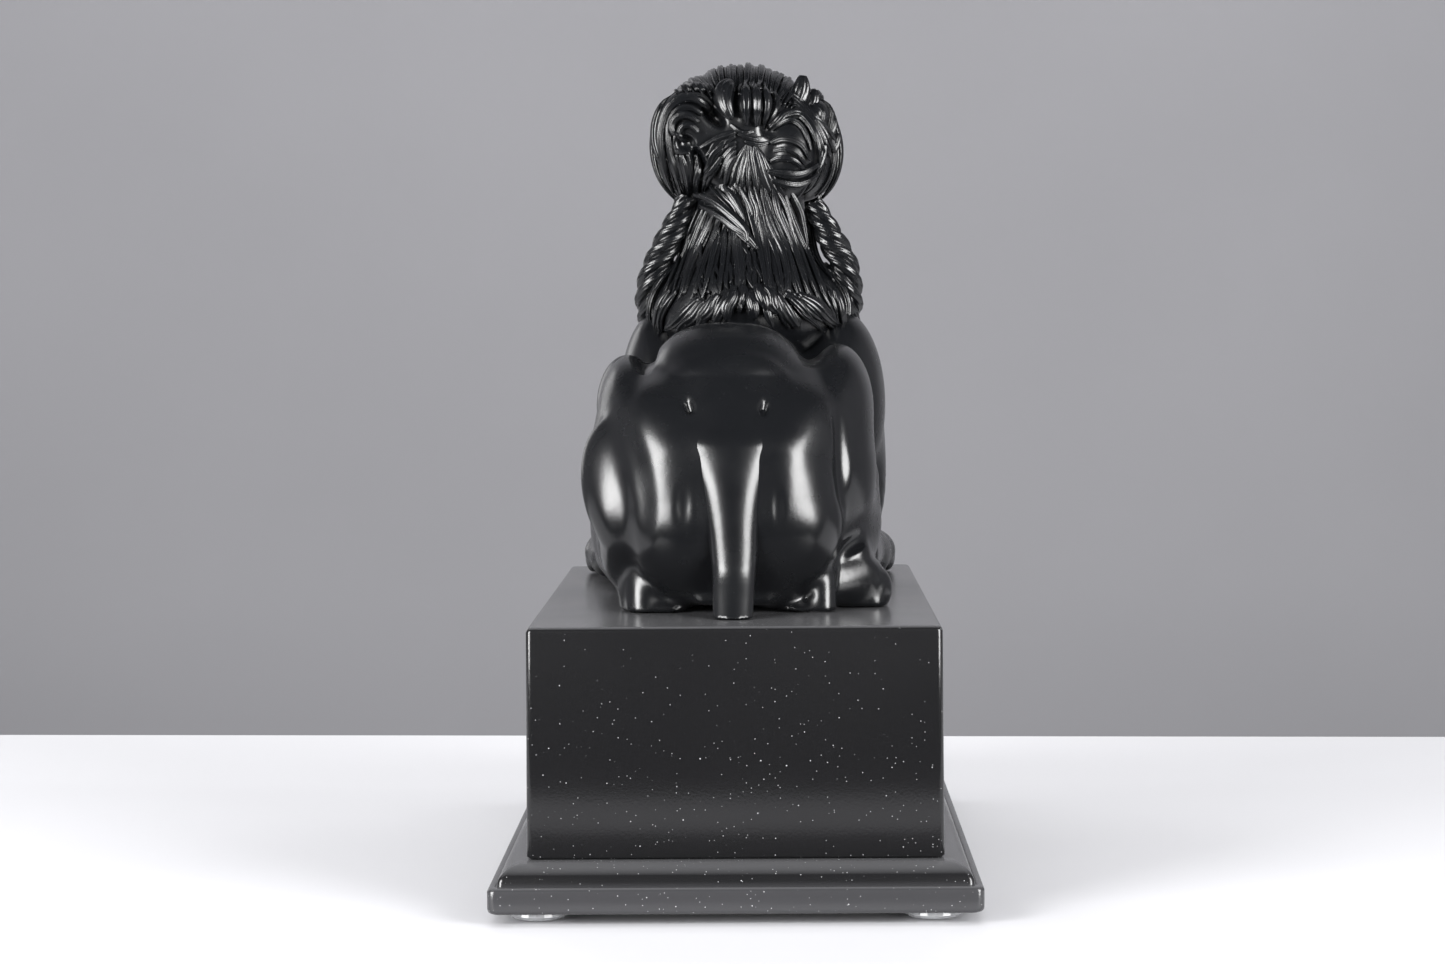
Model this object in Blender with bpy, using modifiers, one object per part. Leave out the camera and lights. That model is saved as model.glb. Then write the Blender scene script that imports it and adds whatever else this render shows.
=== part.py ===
"""Couchant guardian lion on a stepped plinth, assembled from separate castings, pins, studs and feet.

Frame: metres, +Z up, origin under the middle of the base on the surface it stands on.
The lion faces -Y, so its own left side is +X.
"""

import math
from functools import partial

import bpy
import bmesh
from mathutils import Matrix, Vector

MM = 0.001

# Driving dimensions, in millimetres.
BLOCK_WIDTH = 112.0
BLOCK_DEPTH = 213.2
BLOCK_HEIGHT = 62.8
BLOCK_DRAFT = 0.3
BLOCK_EDGE = 1.3
MOULDING_OUT = 10.4
REVEAL_IN = 1.4
OVOLO_HEIGHT = 6.2
PLATE_HEIGHT = 7.0
PLATE_EDGE = 1.6
FOOT_HEIGHT = 3.0
FOOT_RADIUS = 8.2
GAP = 0.3
CAST_GAP = 0.5

PLATE_BOTTOM = FOOT_HEIGHT
PLATE_TOP = PLATE_BOTTOM + PLATE_HEIGHT
BLOCK_BOTTOM = PLATE_TOP + OVOLO_HEIGHT + GAP
BLOCK_TOP = BLOCK_BOTTOM + BLOCK_HEIGHT - GAP
GROUND = BLOCK_TOP + GAP
PLATE_WIDTH = BLOCK_WIDTH + 2 * MOULDING_OUT
PLATE_DEPTH = BLOCK_DEPTH + 2 * MOULDING_OUT

# The head, mane and shoulders sit a little to the lion's right of the plinth's middle.
LEAN = -4.0

# Fixings under the plinth: two M5 studs, each with a washer and a nut in a counterbore.
STUD_YS = (-34.0, 40.0)
STUD_RADIUS = 2.5
STUD_BORE = STUD_RADIUS + GAP
STUD_INTO_BODY = 16.0
WELL_RADIUS = 8.0
WELL_DEPTH = 7.0
WASHER_RADIUS = 6.5
WASHER_HEIGHT = 1.0
NUT_RADIUS = 4.6
NUT_HEIGHT = 4.0
SCREW_XY = (37.0, 84.0)
SCREW_RADIUS = 1.9
SCREW_HEAD_RADIUS = 3.8
SCREW_HEAD_HEIGHT = 2.4
SCREW_LENGTH = 26.0
COVER_SIZE = (88.0, 186.0, 0.8)
FOOT_INSET = 13.0

# The steel dowel that carries the head casting on the body casting.
DOWEL_RADIUS = 3.0
DOWEL_FOOT = Vector((LEAN, -24.0, 66.0))
DOWEL_HEAD = Vector((LEAN, -33.0, 124.0))

RESIN = ("black_resin", (0.012, 0.012, 0.014), 0.28, 0.0)
PLINTH = ("black_plinth", (0.016, 0.016, 0.018), 0.42, 0.0)
STEEL = ("zinc_steel", (0.55, 0.55, 0.56), 0.35, 1.0)
CARD = ("black_card", (0.02, 0.02, 0.02), 0.9, 0.0)
CLEAR = ("clear_bumper", (0.82, 0.83, 0.85), 0.2, 0.0)


def clear_scene():
    for obj in list(bpy.data.objects):
        bpy.data.objects.remove(obj)


def new_collection(name, hidden=False):
    made = bpy.data.collections.new(name)
    made.hide_render = hidden
    bpy.context.scene.collection.children.link(made)
    return made


def material(look):
    name, colour, roughness, metallic = look
    found = bpy.data.materials.get(name)
    if found:
        return found
    made = bpy.data.materials.new(name)
    made.use_nodes = True
    shader = made.node_tree.nodes["Principled BSDF"]
    shader.inputs["Base Color"].default_value = (*colour, 1.0)
    shader.inputs["Roughness"].default_value = roughness
    shader.inputs["Metallic"].default_value = metallic
    return made


def object_from(bm, name, collection, look=None):
    """A new object from a bmesh drawn in millimetres."""
    bmesh.ops.scale(bm, vec=(MM, MM, MM), verts=bm.verts)
    bmesh.ops.recalc_face_normals(bm, faces=bm.faces)
    mesh = bpy.data.meshes.new(name)
    bm.to_mesh(mesh)
    bm.free()
    obj = bpy.data.objects.new(name, mesh)
    collection.objects.link(obj)
    if look:
        mesh.materials.append(material(look))
    if collection.hide_render:
        obj.hide_render = True
        obj.display_type = "WIRE"
    return obj


def add_box(bm, low, high):
    size = Vector(high) - Vector(low)
    middle = (Vector(high) + Vector(low)) / 2
    place = Matrix.Translation(middle) @ Matrix.Diagonal((*size, 1.0))
    return bmesh.ops.create_cube(bm, size=1.0, matrix=place)["verts"]


def add_cylinder(bm, radius, start, end, segments=24, end_radius=None):
    """A capped cylinder, or a cone frustum, from start to end."""
    start, end = Vector(start), Vector(end)
    along = end - start
    turn = Vector((0, 0, 1)).rotation_difference(along).to_matrix().to_4x4()
    place = Matrix.Translation((start + end) / 2) @ turn
    return bmesh.ops.create_cone(
        bm,
        cap_ends=True,
        segments=segments,
        radius1=radius,
        radius2=radius if end_radius is None else end_radius,
        depth=along.length,
        matrix=place,
    )["verts"]


def add_ellipsoid(bm, middle, radii, turn=(0.0, 0.0, 0.0)):
    """An ellipsoid, turned by Euler angles in degrees."""
    spin = Matrix.Identity(4)
    for axis, angle in zip("XYZ", turn):
        spin = Matrix.Rotation(math.radians(angle), 4, axis) @ spin
    place = Matrix.Translation(middle) @ spin @ Matrix.Diagonal((*radii, 1.0))
    bmesh.ops.create_uvsphere(bm, u_segments=32, v_segments=20, radius=1.0, matrix=place)


def add_limb(bm, points, radii):
    """A tapering round limb through the points: a ball at each, and a frustum between neighbours."""
    for point, radius in zip(points, radii):
        add_ellipsoid(bm, point, (radius,) * 3)
    for a, b, ra, rb in zip(points, points[1:], radii, radii[1:]):
        add_cylinder(bm, ra, a, b, 24, rb)


def add_turned(bm, middle, profile, segments=24):
    """A closed solid turned about a vertical axis, through (radius, height) pairs from the bottom up."""
    x, y, z = middle
    rings = []
    for radius, height in profile:
        ring = []
        for step in range(segments):
            angle = step / segments * math.tau
            corner = (x + radius * math.cos(angle), y + radius * math.sin(angle), z + height)
            ring.append(bm.verts.new(corner))
        rings.append(ring)
    for lower, upper in zip(rings, rings[1:]):
        for step in range(segments):
            after = (step + 1) % segments
            bm.faces.new((lower[step], lower[after], upper[after], upper[step]))
    bm.faces.new(reversed(rings[0]))
    bm.faces.new(rings[-1])


def add_modifier(obj, kind, name, **settings):
    made = obj.modifiers.new(name, kind)
    for key, value in settings.items():
        setattr(made, key, value)
    return made


def cut(obj, *cutters):
    for cutter in cutters:
        add_modifier(obj, "BOOLEAN", "cut_" + cutter.name, operation="DIFFERENCE", object=cutter)


def casting(name, draw, collection, look, triangles, voxel=2.0, smoothing=4, floor=None):
    """One organic casting: overlapping forms fused to one skin, smoothed, then thinned.

    triangles is about how many it keeps. floor is a cutter that makes it flat where it stands on the plinth.
    """
    bm = bmesh.new()
    draw(bm)
    bmesh.ops.translate(bm, vec=(0, 0, GROUND), verts=bm.verts)
    obj = object_from(bm, name, collection, look)
    add_modifier(obj, "REMESH", "fuse", mode="VOXEL", voxel_size=voxel * MM)
    add_modifier(obj, "SMOOTH", "soften", factor=0.5, iterations=smoothing)
    bake(obj)
    fused = sum(len(face.vertices) - 2 for face in obj.data.polygons)
    add_modifier(obj, "DECIMATE", "thin", ratio=min(1.0, triangles / fused))
    if floor is not None:
        cut(obj, floor)
    bake(obj)
    return obj


def bake(obj):
    """Replaces the object's mesh by its evaluated one, so that neighbours can be cut from it."""
    graph = bpy.context.evaluated_depsgraph_get()
    mesh = bpy.data.meshes.new_from_object(obj.evaluated_get(graph))
    obj.modifiers.clear()
    obj.data = mesh


def swollen(obj, collection, by=CAST_GAP):
    """A cutter shaped like obj, grown outward by the gap that a neighbour keeps."""
    made = bpy.data.objects.new(obj.name + "_grown", obj.data.copy())
    collection.objects.link(made)
    made.hide_render = True
    made.display_type = "WIRE"
    add_modifier(made, "DISPLACE", "grow", strength=by * MM, mid_level=0.0)
    return made


def both_sides(middle=0.0):
    """The lion's left and right: a name, and a function from a half's x to the real x."""
    return (
        ("left", lambda x: middle + x),
        ("right", lambda x: middle - x),
    )


# ---------------------------------------------------------------- plinth


def make_block(parts, cutters):
    half_x, half_y = BLOCK_WIDTH / 2, BLOCK_DEPTH / 2
    bm = bmesh.new()
    add_box(bm, (-half_x, -half_y, BLOCK_BOTTOM), (half_x, half_y, BLOCK_TOP))
    for vert in bm.verts:
        if vert.co.z < (BLOCK_BOTTOM + BLOCK_TOP) / 2:
            vert.co.x += math.copysign(BLOCK_DRAFT, vert.co.x)
            vert.co.y += math.copysign(BLOCK_DRAFT, vert.co.y)
    block = object_from(bm, "plinth_block", parts, PLINTH)
    add_modifier(block, "BEVEL", "edges", width=BLOCK_EDGE * MM, segments=3)
    holes = bmesh.new()
    for y in STUD_YS:
        add_cylinder(holes, STUD_BORE, (0, y, BLOCK_BOTTOM - 5), (0, y, BLOCK_TOP + 5))
    for x, y in screw_places():
        top = PLATE_BOTTOM + SCREW_LENGTH + GAP
        add_cylinder(holes, SCREW_RADIUS + GAP, (x, y, BLOCK_BOTTOM - 5), (x, y, top), 16)
    cut(block, object_from(holes, "block_holes", cutters))


def screw_places():
    x, y = SCREW_XY
    return [(sx * x, sy * y) for sx in (-1, 1) for sy in (-1, 1)]


def make_moulding(parts, cutters):
    """The stepped base: a rounded plate, a small reveal and a quarter-round up to the block."""
    bm = bmesh.new()
    half_x, half_y = PLATE_WIDTH / 2, PLATE_DEPTH / 2
    add_box(bm, (-half_x, -half_y, PLATE_BOTTOM), (half_x, half_y, PLATE_TOP))
    plate = object_from(bm, "base_moulding", parts, PLINTH)
    add_modifier(plate, "BEVEL", "edges", width=PLATE_EDGE * MM, segments=3)

    reach = MOULDING_OUT - REVEAL_IN
    bm = bmesh.new()
    low = PLATE_TOP - 1.0
    half_x, half_y = half_x - REVEAL_IN, half_y - REVEAL_IN
    add_box(bm, (-half_x, -half_y, low), (half_x, half_y, PLATE_TOP + reach))
    rim = [
        edge
        for edge in bm.edges
        if all(abs(vert.co.z - PLATE_TOP - reach) < 1e-4 for vert in edge.verts)
    ]
    bmesh.ops.bevel(bm, geom=rim, offset=reach, segments=6, profile=0.5, affect="EDGES")
    for vert in bm.verts:
        if vert.co.z > PLATE_TOP:
            vert.co.z = PLATE_TOP + (vert.co.z - PLATE_TOP) * OVOLO_HEIGHT / reach
    ovolo = object_from(bm, "ovolo", cutters)
    add_modifier(plate, "BOOLEAN", "add_ovolo", operation="UNION", object=ovolo)

    bores, wells = bmesh.new(), bmesh.new()
    for y in STUD_YS:
        add_cylinder(bores, STUD_BORE, (0, y, 0), (0, y, BLOCK_BOTTOM + 5))
        add_cylinder(wells, WELL_RADIUS, (0, y, 0), (0, y, PLATE_BOTTOM + WELL_DEPTH), 32)
    head_top = PLATE_BOTTOM + SCREW_HEAD_HEIGHT + GAP
    for x, y in screw_places():
        add_cylinder(bores, SCREW_RADIUS + GAP, (x, y, 0), (x, y, BLOCK_BOTTOM + 5), 16)
        add_cylinder(wells, SCREW_HEAD_RADIUS + GAP, (x, y, 0), (x, y, head_top), 24)
    cut(plate, object_from(bores, "moulding_bores", cutters), object_from(wells, "moulding_wells", cutters))


def make_feet(parts):
    """Four clear domed bumpers, and the card that covers the fixings between them."""
    x = PLATE_WIDTH / 2 - FOOT_INSET
    y = PLATE_DEPTH / 2 - FOOT_INSET
    places = {
        "front_left": (x, -y),
        "front_right": (-x, -y),
        "rear_left": (x, y),
        "rear_right": (-x, y),
    }
    top = FOOT_HEIGHT - GAP
    profile = (
        (0.62 * FOOT_RADIUS, 0.0),
        (0.86 * FOOT_RADIUS, 0.22 * top),
        (FOOT_RADIUS, 0.55 * top),
        (0.98 * FOOT_RADIUS, top),
    )
    for place, (px, py) in places.items():
        bm = bmesh.new()
        add_turned(bm, (px, py, 0), profile)
        object_from(bm, "bumper_foot_" + place, parts, CLEAR)

    width, depth, thickness = COVER_SIZE
    bm = bmesh.new()
    high = PLATE_BOTTOM - GAP
    add_box(bm, (-width / 2, -depth / 2, high - thickness), (width / 2, depth / 2, high))
    object_from(bm, "underside_cover", parts, CARD)


def make_fixings(parts, cutters):
    """Studs, washers and nuts that hold the lion down, and the screws that hold the moulding up."""
    well_top = PLATE_BOTTOM + WELL_DEPTH
    for place, y in zip(("front", "rear"), STUD_YS):
        washer_low = well_top - GAP - WASHER_HEIGHT
        nut_low = washer_low - GAP - NUT_HEIGHT
        pieces = (
            ("fixing_washer_", WASHER_RADIUS, washer_low, WASHER_HEIGHT, 32),
            ("fixing_nut_", NUT_RADIUS, nut_low, NUT_HEIGHT, 6),
        )
        for prefix, radius, low, height, sides in pieces:
            bm = bmesh.new()
            add_cylinder(bm, radius, (0, y, low), (0, y, low + height), sides)
            piece = object_from(bm, prefix + place, parts, STEEL)
            hole = bmesh.new()
            add_cylinder(hole, STUD_BORE, (0, y, low - 2), (0, y, low + height + 2))
            cut(piece, object_from(hole, prefix + place + "_hole", cutters))
        bm = bmesh.new()
        add_cylinder(bm, STUD_RADIUS, (0, y, nut_low - 0.4), (0, y, GROUND + STUD_INTO_BODY - GAP))
        object_from(bm, "fixing_stud_" + place, parts, STEEL)

    head_low = PLATE_BOTTOM + GAP
    head_top = head_low + SCREW_HEAD_HEIGHT - GAP
    for number, (x, y) in enumerate(screw_places(), 1):
        bm = bmesh.new()
        add_cylinder(bm, SCREW_HEAD_RADIUS, (x, y, head_low), (x, y, head_top), 24)
        crown = max(bm.faces, key=lambda face: face.calc_center_median().z)
        rim = SCREW_HEAD_RADIUS - SCREW_RADIUS
        bmesh.ops.inset_region(bm, faces=[crown], thickness=rim)
        raised = bmesh.ops.extrude_face_region(bm, geom=[crown])["geom"]
        verts = [item for item in raised if isinstance(item, bmesh.types.BMVert)]
        bmesh.ops.translate(bm, vec=(0, 0, PLATE_BOTTOM + SCREW_LENGTH - head_top), verts=verts)
        bmesh.ops.delete(bm, geom=[crown], context="FACES_ONLY")
        object_from(bm, f"base_screw_{number}", parts, STEEL)


# ---------------------------------------------------------------- lion


def draw_body(bm):
    """Croup, barrel, chest, haunches and shoulders. Heights are above the plinth's top."""
    add_ellipsoid(bm, (0, 47, 47), (27, 33, 33.5))
    add_ellipsoid(bm, (0, 52, 24), (24, 30, 30))
    add_ellipsoid(bm, (0, 12, 38), (31, 46, 37))
    add_ellipsoid(bm, (0, 12, 12), (25, 58, 20))
    add_ellipsoid(bm, (LEAN / 2, -26, 44), (33, 34, 42))
    add_ellipsoid(bm, (LEAN / 2, -30, 14), (22, 26, 22))
    add_limb(bm, ((LEAN, -24, 68), (LEAN, -29, 90)), (25, 17))
    for side, x in both_sides():
        add_ellipsoid(bm, (x(25), 44, 37), (18, 35, 36), (-8, 0, 0))
        add_ellipsoid(bm, (x(31), 14, 42), (11, 20, 25), (-20, 0, 0))
        add_limb(bm, ((x(32), 10, 22), (x(25), 62, 9)), (12, 8))
        add_limb(bm, ((x(20), 46, 57), (x(17), 58, 42), (x(15.5), 60, 29), (x(14), 56, 15)), (11, 14, 14, 12))
        add_ellipsoid(bm, (x(33), 56, 34), (8, 8, 18), (6, 12 if side == "left" else -12, 0))
        heel = (x(23), 67, 6)
        toes = (x(33), 22, 6) if side == "left" else (x(36), 46, 7)
        add_limb(bm, (heel, toes), (8, 9))
    for side, x in both_sides(LEAN / 2):
        add_ellipsoid(bm, (x(29), -22, 56), (14, 23, 28), (12, 0, 0))
        add_limb(bm, ((x(32), -30, 44), (x(32), -8, 14)), (12, 9))


def draw_foreleg(bm, x):
    """A forearm lying on the plinth with its paw and four toes."""
    add_limb(bm, ((x(35), -14, 10), (x(37), -62, 9)), (10, 9))
    add_ellipsoid(bm, (x(38), -72, 8), (11, 15, 8.5))
    for across in (-7.5, -2.7, 2.7, 7.5):
        add_ellipsoid(bm, (x(38 + across), -83 + abs(across) * 0.5, 5.5), (3.4, 7, 5.5))


def draw_tail(bm):
    """The tail's root broadens on the sacrum, and the tail hangs straight to the plinth."""
    points = ((0, 68, 66), (0.3, 78, 50), (0.5, 84, 30), (0.5, 85, 12), (0.5, 84, 2))
    add_limb(bm, points, (8.5, 8, 6.5, 5.6, 5.2))


def draw_mane(bm):
    """The combed mane: a cape from the nape over the withers, and a bib down the chest."""
    add_ellipsoid(bm, (LEAN, -12, 84), (33, 22, 20), (-20, 0, 0))
    add_ellipsoid(bm, (LEAN, -24, 98), (27, 24, 24))
    add_ellipsoid(bm, (LEAN, -30, 114), (22, 22, 16))
    add_ellipsoid(bm, (LEAN, -48, 76), (27, 20, 34))
    add_ellipsoid(bm, (LEAN, -56, 56), (18, 14, 26))


def draw_head(bm):
    """Skull under its cap of hair, brow, muzzle, jaw and ears."""
    add_ellipsoid(bm, (LEAN, -36, 134), (28, 27, 26))
    add_ellipsoid(bm, (LEAN, -44, 124), (26, 20, 18))
    add_ellipsoid(bm, (LEAN, -62, 126), (15, 17, 11))
    add_ellipsoid(bm, (LEAN, -60, 112), (12, 14, 7))
    add_ellipsoid(bm, (LEAN, -58, 140), (17, 9, 7))
    add_ellipsoid(bm, (LEAN, -73, 132.5), (6, 4.4, 4.4))
    for _, x in both_sides(LEAN):
        add_ellipsoid(bm, (x(14), -51, 127), (9.5, 11, 9))
        add_ellipsoid(bm, (x(6), -68, 125), (7, 8, 6))
        add_ellipsoid(bm, (x(9.2), -61, 139.5), (4.6, 5, 4.4))
        brow = ((x(2.5), -61, 143.5), (x(8), -63, 147), (x(15), -59, 147.5), (x(20), -50, 143))
        add_limb(bm, brow, (3, 3.6, 3.4, 2.6))
        add_ellipsoid(bm, (x(24), -44, 149), (5, 6, 9), (0, 25, 0))


def draw_bow(bm):
    """The knot at the back of the head and the two loops of hair tied in it."""
    add_ellipsoid(bm, (LEAN - 2.2, -6, 142), (6, 5, 10))
    add_ellipsoid(bm, (LEAN + 15, -11, 135), (12, 7, 12))
    add_ellipsoid(bm, (LEAN - 18, -11, 132), (12, 7, 12))
    add_ellipsoid(bm, (LEAN - 1, -7, 125), (15, 6, 9))


def draw_lock(bm, x):
    """A twisted lock that leaves the head behind the ear and falls over the shoulder."""
    points = ((21, -17, 118), (27, -17, 107), (31, -18, 95), (32.5, -24, 84), (32, -38, 74), (29, -52, 62))
    add_limb(bm, [(x(a), b, c) for a, b, c in points], (3.6, 5, 5.6, 5.6, 5.2, 4))


def make_lion(parts, cutters):
    """Each casting is cut to clear the ones it meets, and bored for the steel inside it."""
    bm = bmesh.new()
    add_box(bm, (-90, -120, GROUND - 40), (90, 120, GROUND))
    floor = object_from(bm, "below_ground", cutters)

    bores = bmesh.new()
    for y in STUD_YS:
        add_cylinder(bores, STUD_BORE, (0, y, GROUND - 5), (0, y, GROUND + STUD_INTO_BODY))
    stud_bores = object_from(bores, "stud_bores", cutters)

    up = Vector((0, 0, GROUND))
    along = (DOWEL_HEAD - DOWEL_FOOT).normalized() * GAP
    bm = bmesh.new()
    add_cylinder(bm, DOWEL_RADIUS, DOWEL_FOOT + up, DOWEL_HEAD + up)
    object_from(bm, "neck_dowel", parts, STEEL)
    bm = bmesh.new()
    add_cylinder(bm, DOWEL_RADIUS + GAP, DOWEL_FOOT + up - along, DOWEL_HEAD + up + along)
    dowel_bore = object_from(bm, "dowel_bore", cutters)

    tail = casting("tail_casting", draw_tail, parts, RESIN, 420, 1.6, 4, floor)
    legs = [
        casting("foreleg_" + side, partial(draw_foreleg, x=x), parts, RESIN, 640, 1.6, 3, floor)
        for side, x in both_sides(LEAN / 4)
    ]
    body = casting("body_casting", draw_body, parts, RESIN, 3200, 2.2, 4, floor)
    locks = [
        casting("twisted_lock_" + side, partial(draw_lock, x=x), parts, RESIN, 420, 1.5, 3)
        for side, x in both_sides(LEAN)
    ]
    head = casting("head_casting", draw_head, parts, RESIN, 2000, 1.6, 2)
    mane = casting("mane_casting", draw_mane, parts, RESIN, 1400, 2.0, 4)
    bow = casting("hair_bow", draw_bow, parts, RESIN, 600, 1.5, 3)

    grown = {obj.name: swollen(obj, cutters) for obj in (tail, *legs, body, *locks, head)}
    cut(body, grown["tail_casting"], *(grown[leg.name] for leg in legs), stud_bores, dowel_bore)
    bake(body)
    grown["body_casting"].data = body.data.copy()
    for lock in locks:
        cut(lock, grown["body_casting"])
    cut(head, grown["body_casting"], *(grown[lock.name] for lock in locks), dowel_bore)
    bake(head)
    grown["head_casting"].data = head.data.copy()
    cut(mane, grown["body_casting"], *(grown[lock.name] for lock in locks), grown["head_casting"], dowel_bore)
    bake(mane)
    cut(bow, grown["head_casting"], swollen(mane, cutters), *(grown[lock.name] for lock in locks))


def main():
    clear_scene()
    parts = new_collection("guardian_lion_statue")
    cutters = new_collection("cutters", hidden=True)
    make_block(parts, cutters)
    make_moulding(parts, cutters)
    make_feet(parts)
    make_fixings(parts, cutters)
    make_lion(parts, cutters)
    for obj in parts.objects:
        obj.data.shade_smooth()
        obj.data.set_sharp_from_angle(angle=math.radians(40))


main()
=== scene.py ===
"""The looks of the lion statue: sculpted castings, combed hair, a speckled plinth, and a photo table.

Lengths are millimetres until a mesh is made. x is the lion's left, y runs from its face to its tail, and
h is the height above the plinth's top.
"""

from math import cos, pi, radians, sin, tau

import bpy
import numpy as np
from mathutils import Matrix, Vector


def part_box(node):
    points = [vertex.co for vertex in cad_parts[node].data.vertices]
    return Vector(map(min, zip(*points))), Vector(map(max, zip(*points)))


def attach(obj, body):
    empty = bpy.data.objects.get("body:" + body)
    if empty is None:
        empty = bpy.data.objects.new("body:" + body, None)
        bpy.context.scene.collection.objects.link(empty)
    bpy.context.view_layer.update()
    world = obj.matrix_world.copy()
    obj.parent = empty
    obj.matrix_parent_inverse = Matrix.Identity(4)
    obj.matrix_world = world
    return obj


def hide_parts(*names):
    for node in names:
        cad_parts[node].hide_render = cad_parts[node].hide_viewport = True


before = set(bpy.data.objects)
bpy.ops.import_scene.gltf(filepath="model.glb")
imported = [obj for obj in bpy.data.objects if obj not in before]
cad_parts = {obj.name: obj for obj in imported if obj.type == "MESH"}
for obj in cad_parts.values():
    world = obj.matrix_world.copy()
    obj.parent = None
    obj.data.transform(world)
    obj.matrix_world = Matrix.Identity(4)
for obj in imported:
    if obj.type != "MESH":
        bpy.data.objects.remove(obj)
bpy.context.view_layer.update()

MM = 0.001
BODY = "root"
PLINTH_LOW, PLINTH_HIGH = (Vector(corner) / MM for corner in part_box("plinth_block"))
GROUND = PLINTH_HIGH.z + 0.3

# The head, mane and shoulders sit a little to the lion's right of the plinth's middle.
LEAN = -4.0

# The camera stands behind the statue, almost level with its back.
CAMERA_PLACE = (-0.0092, 1.0146, 0.1665)
CAMERA_RIGHT = (-0.99989, -0.01283, -0.00711)
CAMERA_UP = (-0.00641, -0.05352, 0.99855)
CAMERA_FORWARD = (0.01319, -0.99848, -0.05344)
CAMERA_LENS = 84.7
TABLE_FAR_Y, TABLE_NEAR_Y = -0.2785, 0.14
TABLE_SKEW = 0.0532
TABLE_COLOUR, WALL_COLOUR = (0.505, 0.505, 0.523), (0.262, 0.26, 0.275)

# Further than any surface lies from the edge of its grid, and how far outside a ray starts.
FAR = 40.0
OUTSIDE = 70


# ---------------------------------------------------------------- clay: solids as distance fields


def turn_matrix(turn):
    """Rotation by Euler angles in degrees, X first, then Y, then Z."""
    rx, ry, rz = (radians(angle) for angle in turn)
    mx = np.array([[1, 0, 0], [0, cos(rx), -sin(rx)], [0, sin(rx), cos(rx)]])
    my = np.array([[cos(ry), 0, sin(ry)], [0, 1, 0], [-sin(ry), 0, cos(ry)]])
    mz = np.array([[cos(rz), -sin(rz), 0], [sin(rz), cos(rz), 0], [0, 0, 1]])
    return mz @ my @ mx


def soft_min(a, b, k):
    """The smaller of two distances, rounded where they are within k of each other."""
    h = np.maximum(k - np.abs(a - b), 0) / k
    return np.minimum(a, b) - h * h * k * 0.25


def egg(middle, radii, turn=(0, 0, 0)):
    """An ellipsoid."""
    m = turn_matrix(turn)
    c, r = np.array(middle, float), np.array(radii, float)
    reach = np.sqrt(((m * r) ** 2).sum(1))

    def distance(x, y, z):
        x, y, z = x - c[0], y - c[1], z - c[2]
        k0 = k1 = 0
        for i in range(3):
            q = m[0, i] * x + m[1, i] * y + m[2, i] * z
            k0 = k0 + (q / r[i]) ** 2
            k1 = k1 + (q / r[i] ** 2) ** 2
        k0 = np.sqrt(k0)
        return k0 * (k0 - 1) / np.maximum(np.sqrt(k1), 1e-6)

    return distance, c - reach, c + reach


def bun(middle, radii, power, turn=(0, 0, 0)):
    """An egg whose section across y is squarer the higher its power."""
    m = turn_matrix(turn)
    c, r = np.array(middle, float), np.array(radii, float)
    reach = np.abs(m) @ r

    def distance(x, y, z):
        x, y, z = x - c[0], y - c[1], z - c[2]
        q = [np.abs(m[0, i] * x + m[1, i] * y + m[2, i] * z) / r[i] for i in range(3)]
        return (np.sqrt((q[0] ** power + q[2] ** power) ** (2 / power) + q[1] ** 2) - 1) * r.min() * 0.9

    return distance, c - reach, c + reach


def spline(points, count):
    """Evenly numbered points on a smooth curve through the given ones (Catmull-Rom)."""
    p = np.array(points, float)
    p = np.concatenate([2 * p[:1] - p[1:2], p, 2 * p[-1:] - p[-2:-1]])
    t = np.linspace(0, len(points) - 1, count)
    i = np.minimum(t.astype(int), len(points) - 2)
    u = (t - i)[:, None]
    a, b, c, d = p[i], p[i + 1], p[i + 2], p[i + 3]
    return b + 0.5 * u * (c - a + u * (2 * a - 5 * b + 4 * c - d + u * (3 * (b - c) + d - a)))


def limb(points, radii, per_span=5):
    """A round limb along a smooth curve through the points, with a smoothly changing radius."""
    count = per_span * (len(points) - 1) + 1
    path = spline([(*point, radius) for point, radius in zip(points, radii)], count)
    p, r = path[:, :3], path[:, 3]

    def distance(x, y, z):
        best = None
        for a, b, ra, rb in zip(p, p[1:], r, r[1:]):
            d = b - a
            px, py, pz = x - a[0], y - a[1], z - a[2]
            t = np.clip((px * d[0] + py * d[1] + pz * d[2]) / (d @ d), 0, 1)
            gap = np.sqrt((px - t * d[0]) ** 2 + (py - t * d[1]) ** 2 + (pz - t * d[2]) ** 2)
            gap = gap - (ra + (rb - ra) * t)
            best = gap if best is None else np.minimum(best, gap)
        return best

    return distance, (p - r[:, None]).min(0), (p + r[:, None]).max(0)


def half_space(point, normal):
    """Everything behind a plane."""
    n = np.array(normal, float)
    n /= np.linalg.norm(n)
    offset = float(n @ np.array(point, float))

    def distance(x, y, z):
        return n[0] * x + n[1] * y + n[2] * z - offset

    return distance, np.full(3, -1e3), np.full(3, 1e3)


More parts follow.
